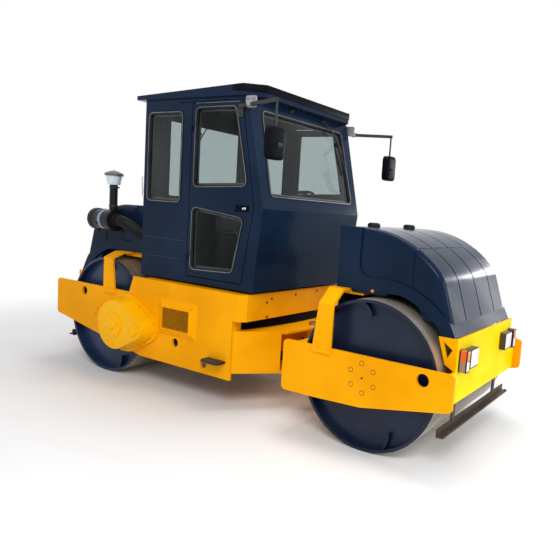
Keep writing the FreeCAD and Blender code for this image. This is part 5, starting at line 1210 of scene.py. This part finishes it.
# %% [markdown]
# The steering console carries a sloping instrument pod with round dials, and a horn button sits in the
# wheel's hub. These are seen only through the glass, so they are simple, but each still has its rings and
# rims.

# %% Instrument pod
WHEEL_HUB, WHEEL_TILT = Vector((0.03, SEAT_Y, 1.96)), math.radians(18)
pod = block((0.035, 0.03, 1.700), (0.150, 0.33, 1.800), 0.010, 3)
shape(pod, "-x", ("inset", 0.010), ("move", (0.010, 0, 0)))
dial_spots = [(0.044, y, 1.752) for y in (0.085, 0.18, 0.275)]
dials = turned_at(dial_spots, BACK, "34 -2, 34 6, 30 8, 28 4, 3 4")
wheel_axis = Vector((-math.sin(WHEEL_TILT), 0, math.cos(WHEEL_TILT)))
horn = turned_at([WHEEL_HUB + wheel_axis * 0.014], wheel_axis, "30 0, 30 12, 22 19, 3 21")
finish_piece(join(pod, dials, horn), "instrument_pod", "rear_unit", moulded)
print("three dials and a horn button")

# %% [markdown]
# Two control levers stand on a box beside the seat. A lever is a bent rod with a turned grip on its end and a
# turned rubber boot at its foot.

# %% Control levers
LEVERS_X, LEVER_Y = (-0.30, -0.42), -0.17
sticks = [
    bent_rod([(x + off, LEVER_Y, z) for off, z in ((0.0, 1.50), (0.01, 1.62), (0.05, 1.74))], 0.008)
    for x in LEVERS_X
]
side_box = block((-0.62, -0.255, 1.112), (-0.20, -0.105, 1.50), 0.012, 3)
shape(side_box, "+z", ("inset", 0.018), ("move", (0, 0, 0.010)))
foot_spots = [(x, LEVER_Y, 1.508) for x in LEVERS_X]
boots = turned_at(foot_spots, UP, "36 -4, 34 14, 26 18, 24 32, 16 36, 10 50")
grip_spots = [(x + 0.052, LEVER_Y, 1.745) for x in LEVERS_X]
grips = turned_at(grip_spots, (0.25, 0, 1), "10 -4, 16 6, 21 30, 20 46, 12 58, 2 60")
finish_piece(join(side_box, boots), "control_box", "rear_unit", moulded)
finish_piece(join(*sticks), "control_levers", "rear_unit", bare_steel)
finish_piece(grips, "control_grips", "rear_unit", rubber)
print("levers:", len(sticks))

# %% [markdown]
# A fan in a wire cage hangs near the roof. It is made flat round +Z: hoops, ribs that are bent rods through
# the hoops, a turned hub and four twisted blades. Then the whole fan is stood at its place and its stem added.

# %% Fan
FAN = Vector((-0.62, 0.52, 2.52))
FAN_AXIS = Vector((0.55, -0.80, -0.12)).normalized()
HOOPS = ((0.105, 0.0), (0.088, 0.022), (0.055, 0.034), (0.105, -0.018))   # radius and height
RIB = ((0.105, -0.018), (0.105, 0.0), (0.055, 0.034), (0.012, 0.038))
WIRE = {"minor_radius": 0.0022, "major_segments": 32, "minor_segments": 6}
hub = turned(mm("30 -70, 34 -50, 34 -18, 20 -12, 12 30, 2 36"))
cage = [add("torus", major_radius=radius, location=(0, 0, off), **WIRE) for radius, off in HOOPS]
for k in range(8):
    cage.append(bent_rod([spin(45 * k, "Z") @ Vector((radius, 0, off)) for radius, off in RIB], 0.0018, 0))
petal = block((0.016, -0.024, -0.002), (0.088, 0.024, 0.002))
edit(petal)
pick(petal, "faces", lambda face: face.normal.x > 0.9)
bpy.ops.transform.rotate(value=math.radians(26), orient_axis="X", center_override=(0.05, 0, 0))
STEPS["scale"]((1.0, 1.4, 1.0))
leave()
petals = copies(petal, [((0, 0, 0.008), UP, 90 * k) for k in range(4)])
fan = stand(join(hub, *cage, petals), FAN, FAN_AXIS)
stem = [FAN - FAN_AXIS * back + Vector((0, 0, up)) for back, up in ((0.06, 0.0), (0.07, 0.10), (0.05, 0.258))]
finish_piece(join(fan, bent_rod(stem, 0.007)), "cab_fan", "rear_unit", moulded)
print("fan of", len(fan.data.polygons), "faces")

# %% [markdown]
# Filler caps have a ribbed grip. One rib is modelled and copied round the cap, with a low turned disc on top.

# %% Filler caps
RIBS = 18
cap_low, cap_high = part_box("filler_caps")
cap_spots = [(cap_low.x + 0.05, -0.345, cap_high.z), (1.355, 0.20, cap_high.z)]
discs = turned_at(cap_spots, UP, "46 -1, 46 5, 40 9, 20 10, 18 6, 2 6", 28)
rib = block((0.049, -0.0035, -0.024), (0.0545, 0.0035, -0.002), 0.0015, 1)
ribs = copies(rib, [(spot, UP, 360.0 / RIBS * k) for spot in cap_spots for k in range(RIBS)])
finish_piece(join(discs, ribs), "filler_cap_grips", "front_unit", rubber)
print("caps:", len(cap_spots), "with", RIBS, "ribs each")

# %% [markdown]
# The air cleaner's clamps and the dust valve under it are small dark parts that make a plain tube read as a
# filter. A clamp is a band with a screw block, made up +Z and pointed along the tube. A zinc-plated nut holds
# the bowl.

# %% Air cleaner fittings
CLEANER = Vector((-1.64, -0.795, 1.59))
BOWL_X, BOWL_Y = -1.532, -0.795


def clamp(radius, wide=0.016):
    outer, half = radius + 0.003, wide / 2
    band = turned([(radius, -half), (outer, -half), (outer, half), (radius, half)], 32)
    screw = block((radius, -0.014, -wide * 0.45), (radius + 0.014, 0.014, wide * 0.45), 0.002, 1)
    return join(band, screw)


def along_cleaner(x, z=0.0):
    """A place on the air cleaner's middle line, or off it."""
    return CLEANER + Vector((x, 0, z))


clamps = join(
    copies(clamp(0.106, 0.030), [(along_cleaner(-0.028), FORWARD, 200)]),
    copies(clamp(0.1085), [(along_cleaner(-0.118), FORWARD, 40)]),
    copies(clamp(0.1085), [(along_cleaner(0.118), FORWARD, 40)]),
    copies(clamp(0.0415), [((BOWL_X, BOWL_Y, z), UP, 250) for z in (1.735, 1.925)]),
    copies(clamp(0.0595), [(along_cleaner(0.172), FORWARD, 60)]),
)
finish_piece(clamps, "air_cleaner_clamps", "rear_unit", black_satin)
valve = turned_at([along_cleaner(-0.130, -0.110)], DOWN, "20 -4, 20 10, 14 18, 15 34, 7 44, 3 45")
lid_ring = turned_at([along_cleaner(-0.160)], BACK, "70 -1, 70 4, 62 9, 30 10, 24 16, 4 17", 32)
finish_piece(join(valve, lid_ring), "air_cleaner_valve", "rear_unit", rubber)
nut = turned_at([(BOWL_X, BOWL_Y, 2.087)], UP, "22 -1, 22 4, 9 7, 9 16, 3 18")
finish_piece(nut, "pre_cleaner_nut", "rear_unit", zinc)
print("air cleaner's middle at", tuple(round(v, 3) for v in CLEANER))

# %% [markdown]
# The step plates need grip: short raised bars pressed in two directions, as on tread plate. One bar is a
# block whose top is drawn in, and its copies turn by a quarter from one to the next.

# %% Step tread
TREAD_ROWS, TREAD_BARS = 4, 7
tread_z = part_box("side_steps")[1].z
bar = block((-0.011, -0.0035, -0.001), (0.011, 0.0035, 0.0018))
shape(bar, "+z", ("scale", (0.7, 0.5, 1.0)))
bars = [
    ((-0.008 + 0.027 * k, -0.965 + 0.024 * row, tread_z), UP, 45 if (row + k) % 2 else -45)
    for row in range(TREAD_ROWS) for k in range(TREAD_BARS)
]
both_sides(copies(bar, bars), "step_tread", "rear_unit", black_satin)
print("tread bars:", len(bars), "a side")

# %% [markdown]
# Bolts hold the scrapers' blades to their bars, and a hard strip stands on each bar's edge.

# %% Scraper bolts and strips
BOLTS_X, STRIP_X = 2.246, 2.190
for end, sign in (("front", 1), ("rear", -1)):
    heads = [(sign * BOLTS_X, y, 0.300) for y in (-0.70, -0.45, -0.15, 0.15, 0.45, 0.70)]
    strip_x = sign * STRIP_X
    strip = block((strip_x - 0.004, -0.780, 0.262), (strip_x + 0.004, 0.780, 0.285), 0.001, 1)
    fittings = join(bolts_at(heads, (sign, 0, 0), 0.018, 0.008), strip)
    finish_piece(fittings, f"{end}_scraper_bolts", f"{end}_unit", brown_black)
print("scrapers fitted")

# %% [markdown]
# Under the front hood hangs the spray tank that wets the drum, and behind it a sheet flap closes the hood.
# Both are rounded blocks whose large faces are sunk a little, as pressed sheet is. A small knob stands out
# on the right.

# %% Spray tank
tank = block((1.300, -0.655, 1.215), (1.620, 0.655, 1.309), 0.012, 3)
flap = block((1.178, -0.650, 1.085), (1.190, 0.650, 1.262), 0.003)
shape(tank, "+y-y", ("inset", 0.012), ("swell", -0.004))
shape(flap, "+x-x", ("inset", 0.018), ("swell", -0.003))
finish_piece(join(tank, flap), "spray_tank", "front_unit", navy)
knob = turned_at([(1.503, -0.650, 1.248)], OUT, "12 -2, 12 6, 8 10, 13 16, 13 24, 3 27")
finish_piece(knob, "hood_side_knob", "front_unit", amber_lens)
print("spray tank", [round(v, 3) for v in tank.dimensions])

# %% [markdown]
# The machine stands on a pale floor under soft studio light. The floor is lit like the machine near its
# drums, so it keeps their shadow, and fades to plain white further out.

# %% Floor
SHADOW_REACH, PLAIN_REACH = 2.6, 5.5
floor = add("circle", vertices=96, radius=60.0, fill_type="NGON", location=(0, 0, -0.002))
floor.name = "studio_floor"
ground = Finish("pale_floor")
x, y, _ = ground.axes()
reach = ground.math("SQRT", x * x * 0.7 + y * y)
lit = ground.node("BsdfDiffuse", {}, {"Color": (0.86, 0.86, 0.86, 1.0)})
plain = ground.node("Emission", {}, {"Color": (1.0, 1.0, 1.0, 1.0), "Strength": 1.0})
fading = ground.step(reach, SHADOW_REACH, PLAIN_REACH)
surface = ground.node("MixShader", {}, {0: fading, 1: lit, 2: plain})
ground.node("OutputMaterial", {}, {"Surface": surface})
coat(floor, ground.material)
print("floor", round(floor.dimensions.x, 1), "m across")

# %% [markdown]
# The world is white where the camera, a reflection or a pane looks straight at it, and a soft grey where it
# lights the paint. The Light Path node tells which kind of ray asks. A world has its own node tree, which the
# material helper can fill as well.

# %% World
AMBIENT = 0.5
world = bpy.data.worlds.new("studio")
bpy.context.scene.world = world
world.use_nodes = True
world.node_tree.nodes.clear()


class Sky(Finish):
    """The same helper, for the world's nodes."""

    def __init__(self, owner):
        self.tree = owner.node_tree


sky = Sky(world)
ray = sky.node("LightPath").socket.node
seen, through, mirrored = (
    Flow(sky, ray.outputs[kind]) for kind in ("Is Camera Ray", "Is Transmission Ray", "Is Glossy Ray")
)
plainly = sky.math("MAXIMUM", sky.math("MAXIMUM", seen, through), mirrored)
lighting = sky.node("Background", {}, {"Color": (0.93, 0.96, 1.0, 1.0), "Strength": AMBIENT})
white = sky.node("Background", {}, {"Color": (1.0, 1.0, 1.0, 1.0), "Strength": 1.0})
sky.node("OutputWorld", {}, {"Surface": sky.node("MixShader", {}, {0: plainly, 1: lighting, 2: white})})
print("world lights at", AMBIENT)

# %% [markdown]
# Four large lamps give the soft light: a key from the front right, a top light, one ahead and one on the
# far side. Beside them stand six narrow strips, like a row of windows, which streak the front of the hood.
# Lamps that a reflection may show, but the camera must not, are hidden from it.

# %% Lamps and view
def soft_lamp(name, place, aim_at, size, power, hidden=False):
    data = bpy.data.lights.new(name, "AREA")
    data.shape = "RECTANGLE"
    data.size, data.size_y = size
    data.energy = power
    lamp = bpy.data.objects.new(name, data)
    bpy.context.scene.collection.objects.link(lamp)
    lamp.location = place
    lamp.rotation_euler = (Vector(aim_at) - Vector(place)).to_track_quat("-Z", "Y").to_euler()
    lamp.visible_camera = not hidden


WINDOWS = ((1.9, 0.30), (2.7, 0.18), (3.3, 0.42), (4.2, 0.20), (4.9, 0.34), (5.8, 0.25))   # x and width
WINDOW_POWER = 36   # to a metre of width
soft_lamp("key", (4.5, -6.5, 6.5), (0.0, -0.5, 1.0), (4.0, 3.0), 380)
soft_lamp("top", (0.5, 0.5, 7.5), (0.3, 0.0, 1.0), (5.0, 2.2), 240)
soft_lamp("front", (8.0, 0.5, 3.5), (1.5, 0.0, 0.8), (3.0, 2.5), 160)
soft_lamp("rim", (3.0, 8.5, 3.3), (1.9, 0.0, 1.4), (3.2, 0.8), 150, hidden=True)
for x, wide in WINDOWS:
    soft_lamp("window", (x, 8.8, 2.0), (x - 1.2, 0.0, 1.6), (wide, 2.2), WINDOW_POWER * wide, hidden=True)
bpy.context.scene.view_settings.view_transform = "Standard"
print("four lamps and", len(WINDOWS), "windows")
